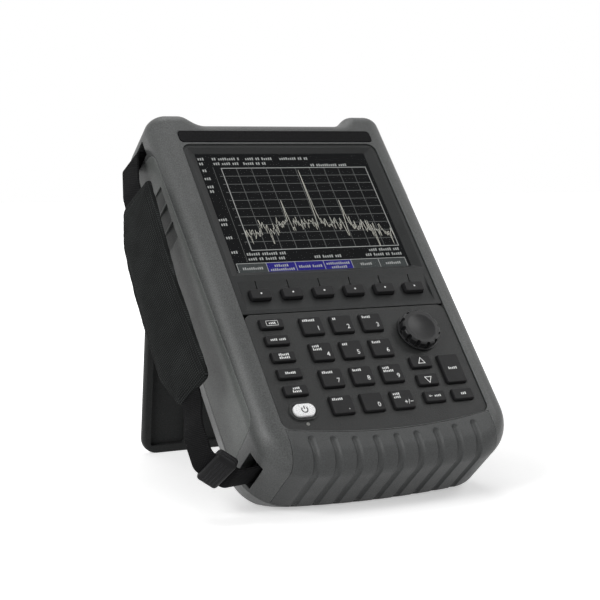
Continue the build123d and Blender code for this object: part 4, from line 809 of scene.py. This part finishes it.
# Left end and middle of each row, and the letters in its words
SCREEN_WORDS = (
    (0.02, 0.028, (3,)), (0.1, 0.028, (2, 8, 1)), (0.29, 0.028, (4, 2, 5)), (0.49, 0.028, (8, 2, 2)),
    (0.02, 0.07, (2,)), (0.1, 0.07, (3, 4, 3)), (0.27, 0.07, (5, 2, 2)), (0.66, 0.088, (2, 10, 4)),
    (0.025, 0.13, (2,)), (0.02, 0.2, (3,)), (0.02, 0.27, (3,)), (0.025, 0.31, (2,)),
    (0.015, 0.55, (4,)), (0.02, 0.59, (3,)), (0.02, 0.7, (3,)), (0.02, 0.82, (3,)),
    (0.1, 0.84, (6, 7, 3)), (0.1, 0.88, (4, 2, 5, 3)), (0.47, 0.88, (3, 5, 3)),
    (0.8, 0.84, (4, 6, 3)), (0.77, 0.88, (3, 5, 2, 5)),
)
SCREEN_WORD_HEIGHT = 2.3 * MM
LABEL_LEFT, LABEL_WIDTH = 0.02, 0.1613
LABEL_TOP, LABEL_BASE = 0.915, 0.998
LABEL_MIDDLE = (0.0806, 0.956)
LABEL_WORDS = (((10,),), ((7,), (12,)), ((6, 5),), ((12,), (8,)), ((6,),), ((8,),))
LABEL_WORD_HEIGHT, LABEL_WORD_PITCH, LABEL_LINE = 2.1 * MM, 3.2 * MM, 0.4 * MM
BLUE_LABELS, GREY_LABELS = (1, 2, 3), (0, 4, 5)
PICTURE_LIFT, PICTURE_RISE = 0.04 * MM, 0.02 * MM
LINES_LIFT, LABEL_MARKS_LIFT, TRACE_LIFT = 0.02 * MM, 0.03 * MM, 0.04 * MM
# Trace: levels are shares of the graph's height, places shares of its width
TRACE_RADIUS = 0.15 * MM
TRACE_LOW, TRACE_SWELL, TRACE_SWELL_POWER = 0.19, 0.13, 1.2
TRACE_NOISE = ((47.3, 0.3, 0.1), (161.7, 4.1, 0.19))
TRACE_PEAKS = ((0.312, 0.6), (0.514, 0.97), (0.711, 0.585))
TRACE_DIPS = ((0.165, 0.07), (0.69, 0.14), (0.872, 0.0), (0.975, 0.02))
PEAK_REACH, PEAK_POWER, DIP_REACH = 0.011, 0.6, 0.004
TRACE_LEAST, TRACE_MOST = 0.005, 0.99


class ANALYZER_OT_screen(bpy.types.Operator):
    """Grid, trace, labels and unreadable marks on the display"""

    bl_idname = "analyzer.screen"
    bl_label = "Screen picture"

    def execute(self, context):
        self.picture = picture = context.scene.analyzer_screen
        low, high = panel_box("display_window")
        self.left = (low.x + high.x - picture.width) / 2
        self.top = (low.y + high.y + picture.height) / 2
        self.level = panel_box("display_panel")[1].z + PICTURE_LIFT
        self.lit("screen_grid", self.grid_bars(), picture.grid)
        self.lit("screen_lines", self.frame_bars() + self.mark_bars(), picture.line, LINES_LIFT)
        self.lit("screen_blue", self.label_faces(BLUE_LABELS), picture.blue)
        self.lit("screen_grey", self.label_faces(GREY_LABELS), picture.grey)
        self.lit("screen_label_marks", self.label_marks(), picture.line, LABEL_MARKS_LIFT)
        self.trace()
        return {"FINISHED"}

    def at(self, across, down):
        """Place of a point of the picture, in panel measure."""
        return self.left + across * self.picture.width, self.top - down * self.picture.height

    def bar(self, across, down, end_across, end_down, line=0.0):
        """A bar between two points, at least as wide as a line."""
        x, y = self.at((across + end_across) / 2, (down + end_down) / 2)
        width = abs(end_across - across) * self.picture.width
        height = abs(end_down - down) * self.picture.height
        return x, y, max(width, line), max(height, line)

    def grid_bars(self):
        """Lines of the grid, the ticks left of it and a line down the margin."""
        bars = []
        divisions = self.picture.divisions
        for step in range(1, divisions):
            across = GRAPH_LEFT + GRAPH_WIDTH * step / divisions
            down = GRAPH_TOP + GRAPH_HEIGHT * step / divisions
            bars.append(self.bar(across, GRAPH_TOP, across, GRAPH_BASE, GRID_LINE))
            bars.append(self.bar(GRAPH_LEFT, down, GRAPH_RIGHT, down, GRID_LINE))
            bars.append(self.bar(TICK_LEFT, down, TICK_RIGHT, down, TICK_WIDTH))
        bars.append(self.bar(*MARGIN_LINE, MARGIN_WIDTH))
        return bars

    def frame_bars(self):
        """Frame of the graph."""
        box = self.bar(GRAPH_LEFT, GRAPH_TOP, GRAPH_RIGHT, GRAPH_BASE)
        return outline_bars(*box, FRAME_LINE)

    def mark_bars(self):
        """Unreadable words round the graph."""
        bars = []
        for across, down, counts in SCREEN_WORDS:
            bars += print_words(*self.at(across, down), counts, SCREEN_WORD_HEIGHT)
        return bars

    def label_faces(self, places):
        """Faces of some of the labels above the soft keys."""
        lefts = [LABEL_LEFT + LABEL_WIDTH * place for place in places]
        return [self.bar(left, LABEL_TOP, left + LABEL_WIDTH, LABEL_BASE) for left in lefts]

    def label_marks(self):
        """Outlines and unreadable words of the labels."""
        bars = []
        width = LABEL_WIDTH * self.picture.width
        height = (LABEL_BASE - LABEL_TOP) * self.picture.height
        across, down = LABEL_MIDDLE
        for place, rows in enumerate(LABEL_WORDS):
            x, y = self.at(LABEL_LEFT + LABEL_WIDTH * place + across, down)
            bars += outline_bars(x, y, width, height, LABEL_LINE)
            bars += centred_words(x, y, rows, LABEL_WORD_HEIGHT, LABEL_WORD_PITCH)
        return bars

    def lit(self, name, bars, colour, lift=0.0):
        """Bars as one lit piece of the picture."""
        piece = thicken(flat_bars(bars, self.level + lift), PICTURE_RISE)
        settle(piece, name, STANCE, "case", glowing(name.replace("_", " "), colour))

    def trace_level(self, index, last):
        """Level of one point of the made-up trace."""
        share = index / last
        base = TRACE_LOW + TRACE_SWELL * sin(pi * share) ** TRACE_SWELL_POWER
        level = base + sum(
            noise.noise((share * pitch, seed, 0)) * size for pitch, seed, size in TRACE_NOISE)
        for place, peak in TRACE_PEAKS:
            near = abs(index - round(place * last)) / last
            if near < PEAK_REACH:
                level = max(level, peak - (peak - base) * (near / PEAK_REACH) ** PEAK_POWER)
        for place, dip in TRACE_DIPS:
            if abs(share - place) < DIP_REACH:
                level = dip
        return min(TRACE_MOST, max(TRACE_LEAST, level))

    def trace(self):
        """The measured line, as a thin tube."""
        last = self.picture.points - 1
        places = []
        for index in range(last + 1):
            across = GRAPH_LEFT + GRAPH_WIDTH * index / last
            down = GRAPH_BASE - GRAPH_HEIGHT * self.trace_level(index, last)
            places.append((*self.at(across, down), self.level + TRACE_LIFT))
        line = line_curve("screen_trace", places)
        line.data.bevel_depth = TRACE_RADIUS
        line.data.bevel_resolution = 0
        finish = glowing("trace", self.picture.trace)
        settle(as_mesh(line), "screen_trace", STANCE, "case", finish)


# Legends: the letters in the words of each row, and sizes of the printed marks

MENU_WORDS = (((4,),), ((4, 4),), ((6,), (6,)), ((6,),), ((4,), (5,)))
NUMBER_WORDS = (
    ("number_key_1", "1", ((7,),)), ("number_key_2", "2", ((2,),)), ("number_key_3", "3", ((5,),)),
    ("number_key_4", "4", ((4,), (5,))), ("number_key_5", "5", ((3,),)), ("number_key_6", "6", ((5,),)),
    ("number_key_7", "7", ((6,),)), ("number_key_8", "8", ((5,),)), ("number_key_9", "9", ((4,), (6,))),
    ("number_key_0", "0", ()), ("point_key", ".", ((6,),)), ("sign_key", "+/−", ((4,), (4,))),
)
SOFT_KEYS = 6
PRINT_LIFT, PRINT_RISE = 0.01 * MM, 0.03 * MM
PRINT_SURFACE = {"bump": 0.05, "edge": 0.02, "wear": 0}
PRINT_DARK = (0.004, 0.004, 0.004, 1)
SOFT_DOT_RADIUS = 0.65 * MM
MENU_HEIGHT, MENU_PITCH = 1.75 * MM, 2.3 * MM
MENU_BOX = (8.4 * MM, 3.6 * MM, 0.32 * MM)
NUMBER_HEIGHT, NUMBER_ACROSS, NUMBER_DOWN = 4.8 * MM, 0.2, 0.17
NUMBER_WORD_HEIGHT, NUMBER_WORD_PITCH = 1.8 * MM, 2.4 * MM
NUMBER_WORD_ACROSS, NUMBER_WORD_UP = 0.34, 0.25
ARROW_RADIUS, ARROW_LINE = 3.4 * MM, 0.5 * MM
WORD_HEIGHT = 1.9 * MM
BACK_WORD_HEIGHT, BACK_WORD_ACROSS = 1.75 * MM, 1.6 * MM
BACK_SHAFT_ACROSS, BACK_SHAFT_LENGTH, BACK_LINE = 3.6 * MM, 2.4 * MM, 0.4 * MM
BACK_HEAD_ACROSS, BACK_HEAD_RADIUS = 4.4 * MM, 0.95 * MM
POWER_RADIUS, POWER_LINE, POWER_CORNERS = 2.4 * MM, 0.7 * MM, 32
POWER_GAP_ABOVE = 1.4 * MM
POWER_STEM_MIDDLE, POWER_STEM_LENGTH = 1.5 * MM, 2.2 * MM


class ANALYZER_OT_legends(bpy.types.Operator):
    """Numbers, signs and unreadable marks printed on the keys"""

    bl_idname = "analyzer.legends"
    bl_label = "Key legends"

    def execute(self, context):
        colours = context.scene.analyzer_case
        self.white = moulded("printed white", colours.print, 0.45, **PRINT_SURFACE)
        self.dark = moulded("printed dark", PRINT_DARK, 0.6, **PRINT_SURFACE)
        for number in range(1, SOFT_KEYS + 1):
            self.soft_key(f"soft_key_{number}")
        for number, rows in enumerate(MENU_WORDS, start=1):
            self.menu_key(f"menu_key_{number}", rows, boxed=number == 1)
        for key, sign, rows in NUMBER_WORDS:
            self.number_key(key, sign, rows)
        self.arrow_key("up_key", 0)
        self.arrow_key("down_key", pi)
        self.word_key("enter_key", (5,))
        self.back_key("back_key", (4,))
        self.word_key("cancel_key", (3,))
        self.power_key("power_key")
        return {"FINISHED"}

    def face(self, key):
        """Middle of a key's face, the level of its print, its width and its height."""
        low, high = panel_box(key)
        x, y, _ = (low + high) / 2
        width, height, _ = high - low
        return x, y, high.z + PRINT_LIFT, width, height

    def printed(self, key, pieces, material=None, slot="power_white"):
        """Flat marks as one printed piece that moves with its key."""
        piece = thicken(join(pieces), PRINT_RISE)
        settle(piece, f"legend_{key}", STANCE, key, material or self.white)

    def soft_key(self, key):
        """A dot."""
        x, y, level, *_ = self.face(key)
        self.printed(key, [flat_dot(x, y, level, SOFT_DOT_RADIUS)])

    def menu_key(self, key, rows, boxed):
        """One or two rows of words, boxed on the first key."""
        x, y, level, *_ = self.face(key)
        bars = centred_words(x, y, rows, MENU_HEIGHT, MENU_PITCH)
        if boxed:
            bars += outline_bars(x, y, *MENU_BOX)
        self.printed(key, [flat_bars(bars, level)])

    def number_key(self, key, sign, rows):
        """A number or sign at the lower right, and words at the upper left."""
        x, y, level, width, height = self.face(key)
        sign_x, sign_y = x + NUMBER_ACROSS * width, y - NUMBER_DOWN * height
        parts = [flat_sign(sign, sign_x, sign_y, level, NUMBER_HEIGHT)]
        left, top = x - NUMBER_WORD_ACROSS * width, y + NUMBER_WORD_UP * height
        bars = []
        for row, counts in enumerate(rows):
            bars += print_words(left, top - NUMBER_WORD_PITCH * row, counts, NUMBER_WORD_HEIGHT)
        if bars:
            parts.append(flat_bars(bars, level))
        self.printed(key, parts)

    def arrow_key(self, key, turn):
        """An open triangle."""
        x, y, level, *_ = self.face(key)
        self.printed(key, [flat_ring(x, y, level, ARROW_RADIUS, ARROW_LINE, 3, turn)])

    def word_key(self, key, counts):
        """A word in the middle."""
        x, y, level, *_ = self.face(key)
        self.printed(key, [flat_bars(centred_words(x, y, [counts], WORD_HEIGHT), level)])

    def back_key(self, key, counts):
        """An arrow to the left and a word."""
        x, y, level, *_ = self.face(key)
        bars = centred_words(x + BACK_WORD_ACROSS, y, [counts], BACK_WORD_HEIGHT)
        bars.append((x - BACK_SHAFT_ACROSS, y, BACK_SHAFT_LENGTH, BACK_LINE))
        head = flat_ring(x - BACK_HEAD_ACROSS, y, level, BACK_HEAD_RADIUS, BACK_LINE, 3, pi / 2)
        self.printed(key, [flat_bars(bars, level), head])

    def power_key(self, key):
        """A ring with a gap at its top and a stem in the gap."""
        x, y, level, *_ = self.face(key)
        ring = flat_ring(x, y, level, POWER_RADIUS, POWER_LINE, POWER_CORNERS)
        for face in ring.data.polygons:
            face.select = face.center.y > POWER_GAP_ABOVE
        with shaping(ring):
            bpy.ops.mesh.select_mode(type="FACE")
            bpy.ops.mesh.delete(type="FACE")
        stem = flat_bars([(x, y + POWER_STEM_MIDDLE, POWER_LINE, POWER_STEM_LENGTH)], level)
        self.printed(key, [ring, stem], self.dark, "key_black")


# Strap: runs are in millimetres of its plane. The pad is modelled flat, x along its run, and bent

WEBBING_POINTS = (
    (8, 273.8), (-8, 273.8), (-16, 245), (-23, 157), (-23.3, 69),
    (-30, 52), (-30, 29), (-13, 16.5), (11.7, 20.8),
)
WEBBING_BENDS = (7, 25, 400, 40, 40, 7, 7)
BAR_TOP, TOP_LOOP = (8, 277), (200, -75)
BAR_LOW, LOW_LOOP = (11.7, 24), (-80, 160)
LOOP_RADIUS = 3.2
BEND_STEP, LEAST_BEND_STEPS, LOOP_STEP = radians(6), 3, 15
WEBBING_THICKNESS = 1.53 * MM
WEBBING_MARGIN = 0.3 * MM
WEBBING_MERGE = 0.05 * MM
WEBBING_EDGE, WEBBING_EDGE_ANGLE = 0.35 * MM, radians(60)
SMOOTH_ANGLE = radians(40)
WEBBING_PITCH, WEBBING_BUMP = 260, 0.6
PAD_RUN = ((-16.6, 237), (-23, 157), (-23.3, 77))
PAD_BENDS = (400,)
PAD_TAPER_RUN, PAD_TAPER_DRAW = 26 * MM, 10.5 * MM
PAD_CORNER, PAD_CORNER_STEPS = 3.5 * MM, 4
PAD_VOXEL = 1.7 * MM
PAD_PITCH, PAD_BUMP, PAD_TURN = 200, 1, (radians(45), 0, 0)
SEAM_NEAR, SEAM_FAR = 2.6 * MM, 4.6 * MM
EDGE_THICKNESS_SHARE = 0.62
FILL_PRESSURE, FILL_STEPS, FILL_LIMIT = 4, 20, 2.4 * MM
PUCKER_SCALE, PUCKER_HEIGHT = 14 * MM, 0.9 * MM
STITCH_SIZE, STITCH_EDGE = (2.1 * MM, 0.5 * MM, 0.55 * MM), 0.2 * MM
STITCH_INSET, STITCH_PITCH = 3.6 * MM, 3.3 * MM
THREAD_COLOUR = (0.016, 0.016, 0.0165, 1)
THREAD_SURFACE = {"roughness": 0.7, "wear": 0, "gloss": 0.1}
BUCKLE_PLACE = (-21.5, 22.75)
BUCKLE_WAY = (0.806, -0.592)
BUCKLE_LENGTH, BUCKLE_THICKNESS, BUCKLE_MARGIN = 15 * MM, 6.8 * MM, 5.4 * MM
BUCKLE_CORNER, BUCKLE_CORNER_STEPS = 2.6 * MM, 4
BUCKLE_RIM, BUCKLE_HOLLOW = 2.3 * MM, 2 * MM
FACING = 0.9
BUCKLE_EDGE, BUCKLE_EDGE_STEPS = 0.45 * MM, 2
# The buckle's lighter edges are partly rubbing and partly a painted highlight
BUCKLE_SURFACE = {"roughness": 0.34, "bump": 0.12, "edge": 0.6, "wear": 0.5, "worn": 8, "gloss": 0.12}
RIB_COUNT, RIB_PITCH, RIB_LEVEL = 4, 2.4 * MM, -2.3 * MM
RIB_WIDTH, RIB_HEIGHT, RIB_MARGIN = 1.3 * MM, 2.4 * MM, 1 * MM


def rounded_run(corners, bends):
    """Points along a line whose inner corners are rounded."""
    run = [Vector(corners[0])]
    for before, corner, after, bend in zip(corners, corners[1:], corners[2:], bends):
        corner = Vector(corner)
        back = (Vector(before) - corner).normalized()
        ahead = (Vector(after) - corner).normalized()
        half_turn = (pi - back.angle(ahead)) / 2
        reach = bend * sin(half_turn) / cos(half_turn)
        middle = corner + (back + ahead).normalized() * bend / cos(half_turn)
        start = corner + back * reach - middle
        sweep = start.angle_signed(corner + ahead * reach - middle)
        steps = max(LEAST_BEND_STEPS, int(abs(sweep) / BEND_STEP))
        for step in range(steps + 1):
            run.append(middle + Matrix.Rotation(-sweep * step / steps, 2) @ start)
    run.append(Vector(corners[-1]))
    return run


def loop_run(middle, start, end):
    """Points along a loop round a bar, from one angle to another in degrees."""
    steps = int(abs(end - start) / LOOP_STEP)
    angles = [radians(start + (end - start) * step / steps) for step in range(steps + 1)]
    return [Vector(middle) + LOOP_RADIUS * Vector((cos(angle), sin(angle))) for angle in angles]


def run_length(run):
    """Length of a run, in metres."""
    return sum((after - before).length for before, after in zip(run, run[1:])) * MM


def run_curve(name, run):
    """A curve along a run of the strap's plane."""
    return line_curve(name, [(place.x * MM, place.y * MM, 0) for place in run])


def edge_distance(place, outline):
    """Distance of a place from the nearest side of an outline."""
    near = []
    for start, end in zip(outline, outline[1:] + outline[:1]):
        along = (end - start).normalized()
        reach = min(max((place - start).dot(along), 0), (end - start).length)
        near.append((place - start - along * reach).length)
    return min(near)


class ANALYZER_OT_strap(bpy.types.Operator):
    """Webbing looped round both bars, the filled pad on it, and the buckle"""

    bl_idname = "analyzer.strap"
    bl_label = "Hand strap"

    def execute(self, context):
        sizes = context.scene.analyzer_strap
        self.webbing(sizes)
        self.pad(sizes)
        self.buckle(sizes)
        return {"FINISHED"}

    def webbing(self, sizes):
        """A band along its run, with thickness and soft edges."""
        run = loop_run(BAR_TOP, *TOP_LOOP)
        run += rounded_run(WEBBING_POINTS, WEBBING_BENDS)
        run += loop_run(BAR_LOW, *LOW_LOOP)
        line = run_curve("strap_webbing_cloth", run)
        line.data.extrude = sizes.webbing_width / 2 - WEBBING_MARGIN
        band = as_mesh(line)
        with shaping(band):
            bpy.ops.mesh.select_all(action="SELECT")
            bpy.ops.mesh.remove_doubles(threshold=WEBBING_MERGE)
            bpy.ops.mesh.subdivide(number_cuts=1)
        thick = band.modifiers.new("thickness", "SOLIDIFY")
        thick.thickness = WEBBING_THICKNESS
        thick.offset = 0
        soft = band.modifiers.new("soft edge", "BEVEL")
        soft.width = WEBBING_EDGE
        soft.segments = 2
        soft.limit_method = "ANGLE"
        soft.angle_limit = WEBBING_EDGE_ANGLE
        apply_modifiers(band)
        bpy.ops.object.shade_smooth_by_angle(angle=SMOOTH_ANGLE)
        tape = woven("webbing weave", sizes.webbing, WEBBING_PITCH, WEBBING_BUMP)
        settle(band, "strap_webbing_cloth", STRAP, "case", tape)
        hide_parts("strap_webbing")

    def pad(self, sizes):
        """The filled pad and its stitches, bent along the pad's run."""
        run = rounded_run(PAD_RUN, PAD_BENDS)
        length = run_length(run)
        outline = self.pad_outline(length, sizes.pad_width / 2)
        body = self.pad_body(length, sizes)
        self.sew(body, outline)
        self.fill(body)
        stitches = self.stitches(body, outline)
        line = run_curve("pad_run", run)
        cloth = woven("pad weave", sizes.cloth, PAD_PITCH, PAD_BUMP, PAD_TURN)
        thread = moulded("thread", THREAD_COLOUR, **THREAD_SURFACE)
        for piece, name, finish in (
            (body, "strap_pad_cloth", cloth), (stitches, "strap_stitches", thread),
        ):
            bend = piece.modifiers.new("bend", "CURVE")
            bend.object = line
            bend.deform_axis = "POS_X"
            apply_modifiers(piece)
            bpy.ops.object.shade_smooth()
            settle(piece, name, STRAP, "case", finish)
        bpy.data.objects.remove(line)
        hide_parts("strap_pad")

    def pad_outline(self, length, half):
        """Corners of the flat pad, which tapers at both ends of one side."""
        taper = PAD_TAPER_DRAW - half
        return [
            Vector((0, half)), Vector((length, half)), Vector((length, taper)),
            Vector((length - PAD_TAPER_RUN, -half)), Vector((PAD_TAPER_RUN, -half)), Vector((0, taper)),
        ]

    def pad_body(self, length, sizes):
        """The flat pad with rounded corners, in an even mesh."""
        half = sizes.pad_width / 2
        clear_selection()
        bpy.ops.mesh.primitive_plane_add(size=1, location=(length / 2, 0, 0), rotation=(pi / 2, 0, 0))
        body = bpy.context.active_object
        body.scale = (length, sizes.pad_width, 1)
        bpy.ops.object.transform_apply(location=True, rotation=True, scale=True)
        with shaping(body):
            for end, way in ((0, -1), (length, 1)):
                bpy.ops.mesh.select_all(action="SELECT")
                bpy.ops.mesh.bisect(
                    plane_co=(end, 0, PAD_TAPER_DRAW - half),
                    plane_no=(way * PAD_TAPER_DRAW, 0, -PAD_TAPER_RUN), clear_outer=True)
            bpy.ops.mesh.select_all(action="SELECT")
            bpy.ops.mesh.bevel(offset=PAD_CORNER, segments=PAD_CORNER_STEPS, affect="VERTICES")
            bpy.ops.mesh.select_all(action="SELECT")
            bpy.ops.transform.translate(value=(0, -sizes.pad_thickness / 2, 0))
            bpy.ops.mesh.extrude_region_move(
                TRANSFORM_OT_translate={"value": (0, sizes.pad_thickness, 0)})
            bpy.ops.mesh.select_all(action="SELECT")
            bpy.ops.mesh.normals_make_consistent(inside=False)
        even = body.modifiers.new("even mesh", "REMESH")
        even.mode = "VOXEL"
        even.voxel_size = PAD_VOXEL
        apply_modifiers(body)
        return body

    def sew(self, body, outline):
        """Press the edge together and mark the seam that holds the filling in."""
        seam = body.vertex_groups.new(name="seam")
        ring = []
        for vertex in body.data.vertices:
            inside = edge_distance(vertex.co.xz, outline)
            if SEAM_NEAR < inside < SEAM_FAR:
                ring.append(vertex.index)
            vertex.select = inside < SEAM_FAR
        seam.add(ring, 1, "REPLACE")
        with shaping(body):
            bpy.ops.mesh.select_mode(type="VERT")
            bpy.ops.transform.resize(value=(1, EDGE_THICKNESS_SHARE, 1), center_override=(0, 0, 0))

    def fill(self, body):
        """Swell the pad under pressure, up to a limit, and pucker its cloth."""
        flat = [vertex.co.copy() for vertex in body.data.vertices]
        cloth = body.modifiers.new("cloth", "CLOTH")
        cloth.settings.use_pressure = True
        cloth.settings.uniform_pressure_force = FILL_PRESSURE
        cloth.settings.vertex_group_mass = "seam"
        cloth.settings.effector_weights.gravity = 0
        for step in range(1, FILL_STEPS + 1):
            bpy.context.scene.frame_set(step)
        apply_modifiers(body)
        bpy.context.scene.frame_set(1)
        for vertex, place in zip(body.data.vertices, flat):
            move = vertex.co - place
            if move.length > FILL_LIMIT:
                vertex.co = place + move.normalized() * FILL_LIMIT
        soft = body.modifiers.new("softness", "SUBSURF")
        soft.levels = soft.render_levels = 1
        clouds = bpy.data.textures.new("puckers", "CLOUDS")
        clouds.noise_scale = PUCKER_SCALE
        pucker = body.modifiers.new("puckers", "DISPLACE")
        pucker.texture = clouds
        pucker.texture_coords = "LOCAL"
        pucker.strength = PUCKER_HEIGHT
        apply_modifiers(body)

    def stitches(self, body, outline):
        """Stitches along the seam on both faces of the pad, modelled once and copied."""
        middle = sum(outline, Vector((0, 0))) / len(outline)
        ring = []
        for corner in outline:
            away = corner - middle
            inset = Vector((copysign(STITCH_INSET, away.x), copysign(STITCH_INSET, away.y)))
            ring.append(middle + away - inset)
        first = block(STITCH_SIZE)
        with shaping(first):
            bpy.ops.mesh.bevel(offset=STITCH_EDGE, segments=2)
        made = []
        for start, end in zip(ring, ring[1:] + ring[:1]):
            count = int((end - start).length / STITCH_PITCH)
            turn = Matrix.Rotation(-(end - start).angle_signed(Vector((1, 0))), 4, "Y")
            for index in range(count):
                place = start.lerp(end, (index + 0.5) / count)
                for side in (-1, 1):
                    hit, spot, _, _ = body.ray_cast((place.x, side, place.y), (0, -side, 0))
                    if hit:
                        stitch = copy_piece(first)
                        stitch.matrix_world = Matrix.Translation(spot) @ turn
                        made.append(stitch)
        bpy.data.objects.remove(first)
        thread = join(made)
        bpy.ops.object.transform_apply(location=True, rotation=True, scale=True)
        return thread

    def buckle(self, sizes):
        """A rounded frame with a hollow face and ribs across it."""
        along = Vector((*BUCKLE_WAY, 0)).normalized()
        across = Vector((0, 0, 1))
        place = Matrix((along, across.cross(along), across)).transposed().to_4x4()
        place.translation = (*(Vector(BUCKLE_PLACE) * MM), 0)
        buckle = block((BUCKLE_LENGTH, BUCKLE_THICKNESS, sizes.webbing_width + BUCKLE_MARGIN))
        for edge in buckle.data.edges:
            first, second = (buckle.data.vertices[index].co for index in edge.vertices)
            edge.select = abs(first.y - second.y) > BUCKLE_THICKNESS / 2
        with shaping(buckle):
            bpy.ops.mesh.select_mode(type="EDGE")
            bpy.ops.mesh.bevel(offset=BUCKLE_CORNER, segments=BUCKLE_CORNER_STEPS)
        for face in buckle.data.polygons:
            face.select = face.normal.y < -FACING
        with shaping(buckle):
            bpy.ops.mesh.select_mode(type="FACE")
            bpy.ops.mesh.inset(thickness=BUCKLE_RIM)
            bpy.ops.mesh.extrude_region_move(TRANSFORM_OT_translate={"value": (0, BUCKLE_HOLLOW, 0)})
        self.soften(buckle)
        buckle = join([buckle, *self.ribs(sizes)])
        bpy.ops.object.shade_smooth_by_angle(angle=SMOOTH_ANGLE)
        finish = moulded("buckle black", sizes.buckle, **BUCKLE_SURFACE)
        settle(buckle, "strap_buckle_frame", STRAP @ place, "case", finish)
        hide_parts("strap_buckle")

    def ribs(self, sizes):
        """Ribs in the hollow of the buckle, modelled once and copied."""
        first = block((RIB_WIDTH, RIB_HEIGHT, sizes.webbing_width - RIB_MARGIN))
        self.soften(first)
        ribs = []
        for step in range(RIB_COUNT):
            rib = copy_piece(first)
            rib.location = ((step - (RIB_COUNT - 1) / 2) * RIB_PITCH, RIB_LEVEL, 0)
            ribs.append(rib)
        bpy.data.objects.remove(first)
        return ribs

    def soften(self, piece):
        """Round all edges of a moulded piece."""
        edge = piece.modifiers.new("edge", "BEVEL")
        edge.width = BUCKLE_EDGE
        edge.segments = BUCKLE_EDGE_STEPS
        apply_modifiers(piece)


# Panel and registration

SETTINGS = {
    "analyzer_case": CaseColours,
    "analyzer_screen": ScreenPicture,
    "analyzer_strap": StrapSizes,
    "analyzer_stage": StageSettings,
}


class ANALYZER_PT_looks(bpy.types.Panel):
    """Lists the pieces and their settings"""

    bl_idname = "ANALYZER_PT_looks"
    bl_label = "Analyzer"
    bl_space_type = "VIEW_3D"
    bl_region_type = "UI"
    bl_category = "Analyzer"

    def draw(self, context):
        column = self.layout.column()
        for operator in operators:
            column.operator(operator.bl_idname)
        for settings, kind in SETTINGS.items():
            for name in kind.__annotations__:
                column.prop(getattr(context.scene, settings), name)


operators = (
    ANALYZER_OT_stage, ANALYZER_OT_case, ANALYZER_OT_screen, ANALYZER_OT_legends, ANALYZER_OT_strap,
)
classes = (*SETTINGS.values(), *operators, ANALYZER_PT_looks)


def register():
    """Register the classes and hang the settings on the scene."""
    for cls in classes:
        bpy.utils.register_class(cls)
    for name, kind in SETTINGS.items():
        setattr(bpy.types.Scene, name, PointerProperty(type=kind))


def unregister():
    """Take the settings and the classes away again."""
    for name in SETTINGS:
        delattr(bpy.types.Scene, name)
    for cls in reversed(classes):
        bpy.utils.unregister_class(cls)


def main():
    """Build every piece in order."""
    register()
    bpy.ops.analyzer.stage()
    bpy.ops.analyzer.case()
    bpy.ops.analyzer.screen()
    bpy.ops.analyzer.legends()
    bpy.ops.analyzer.strap()


if __name__ == "__main__":
    main()
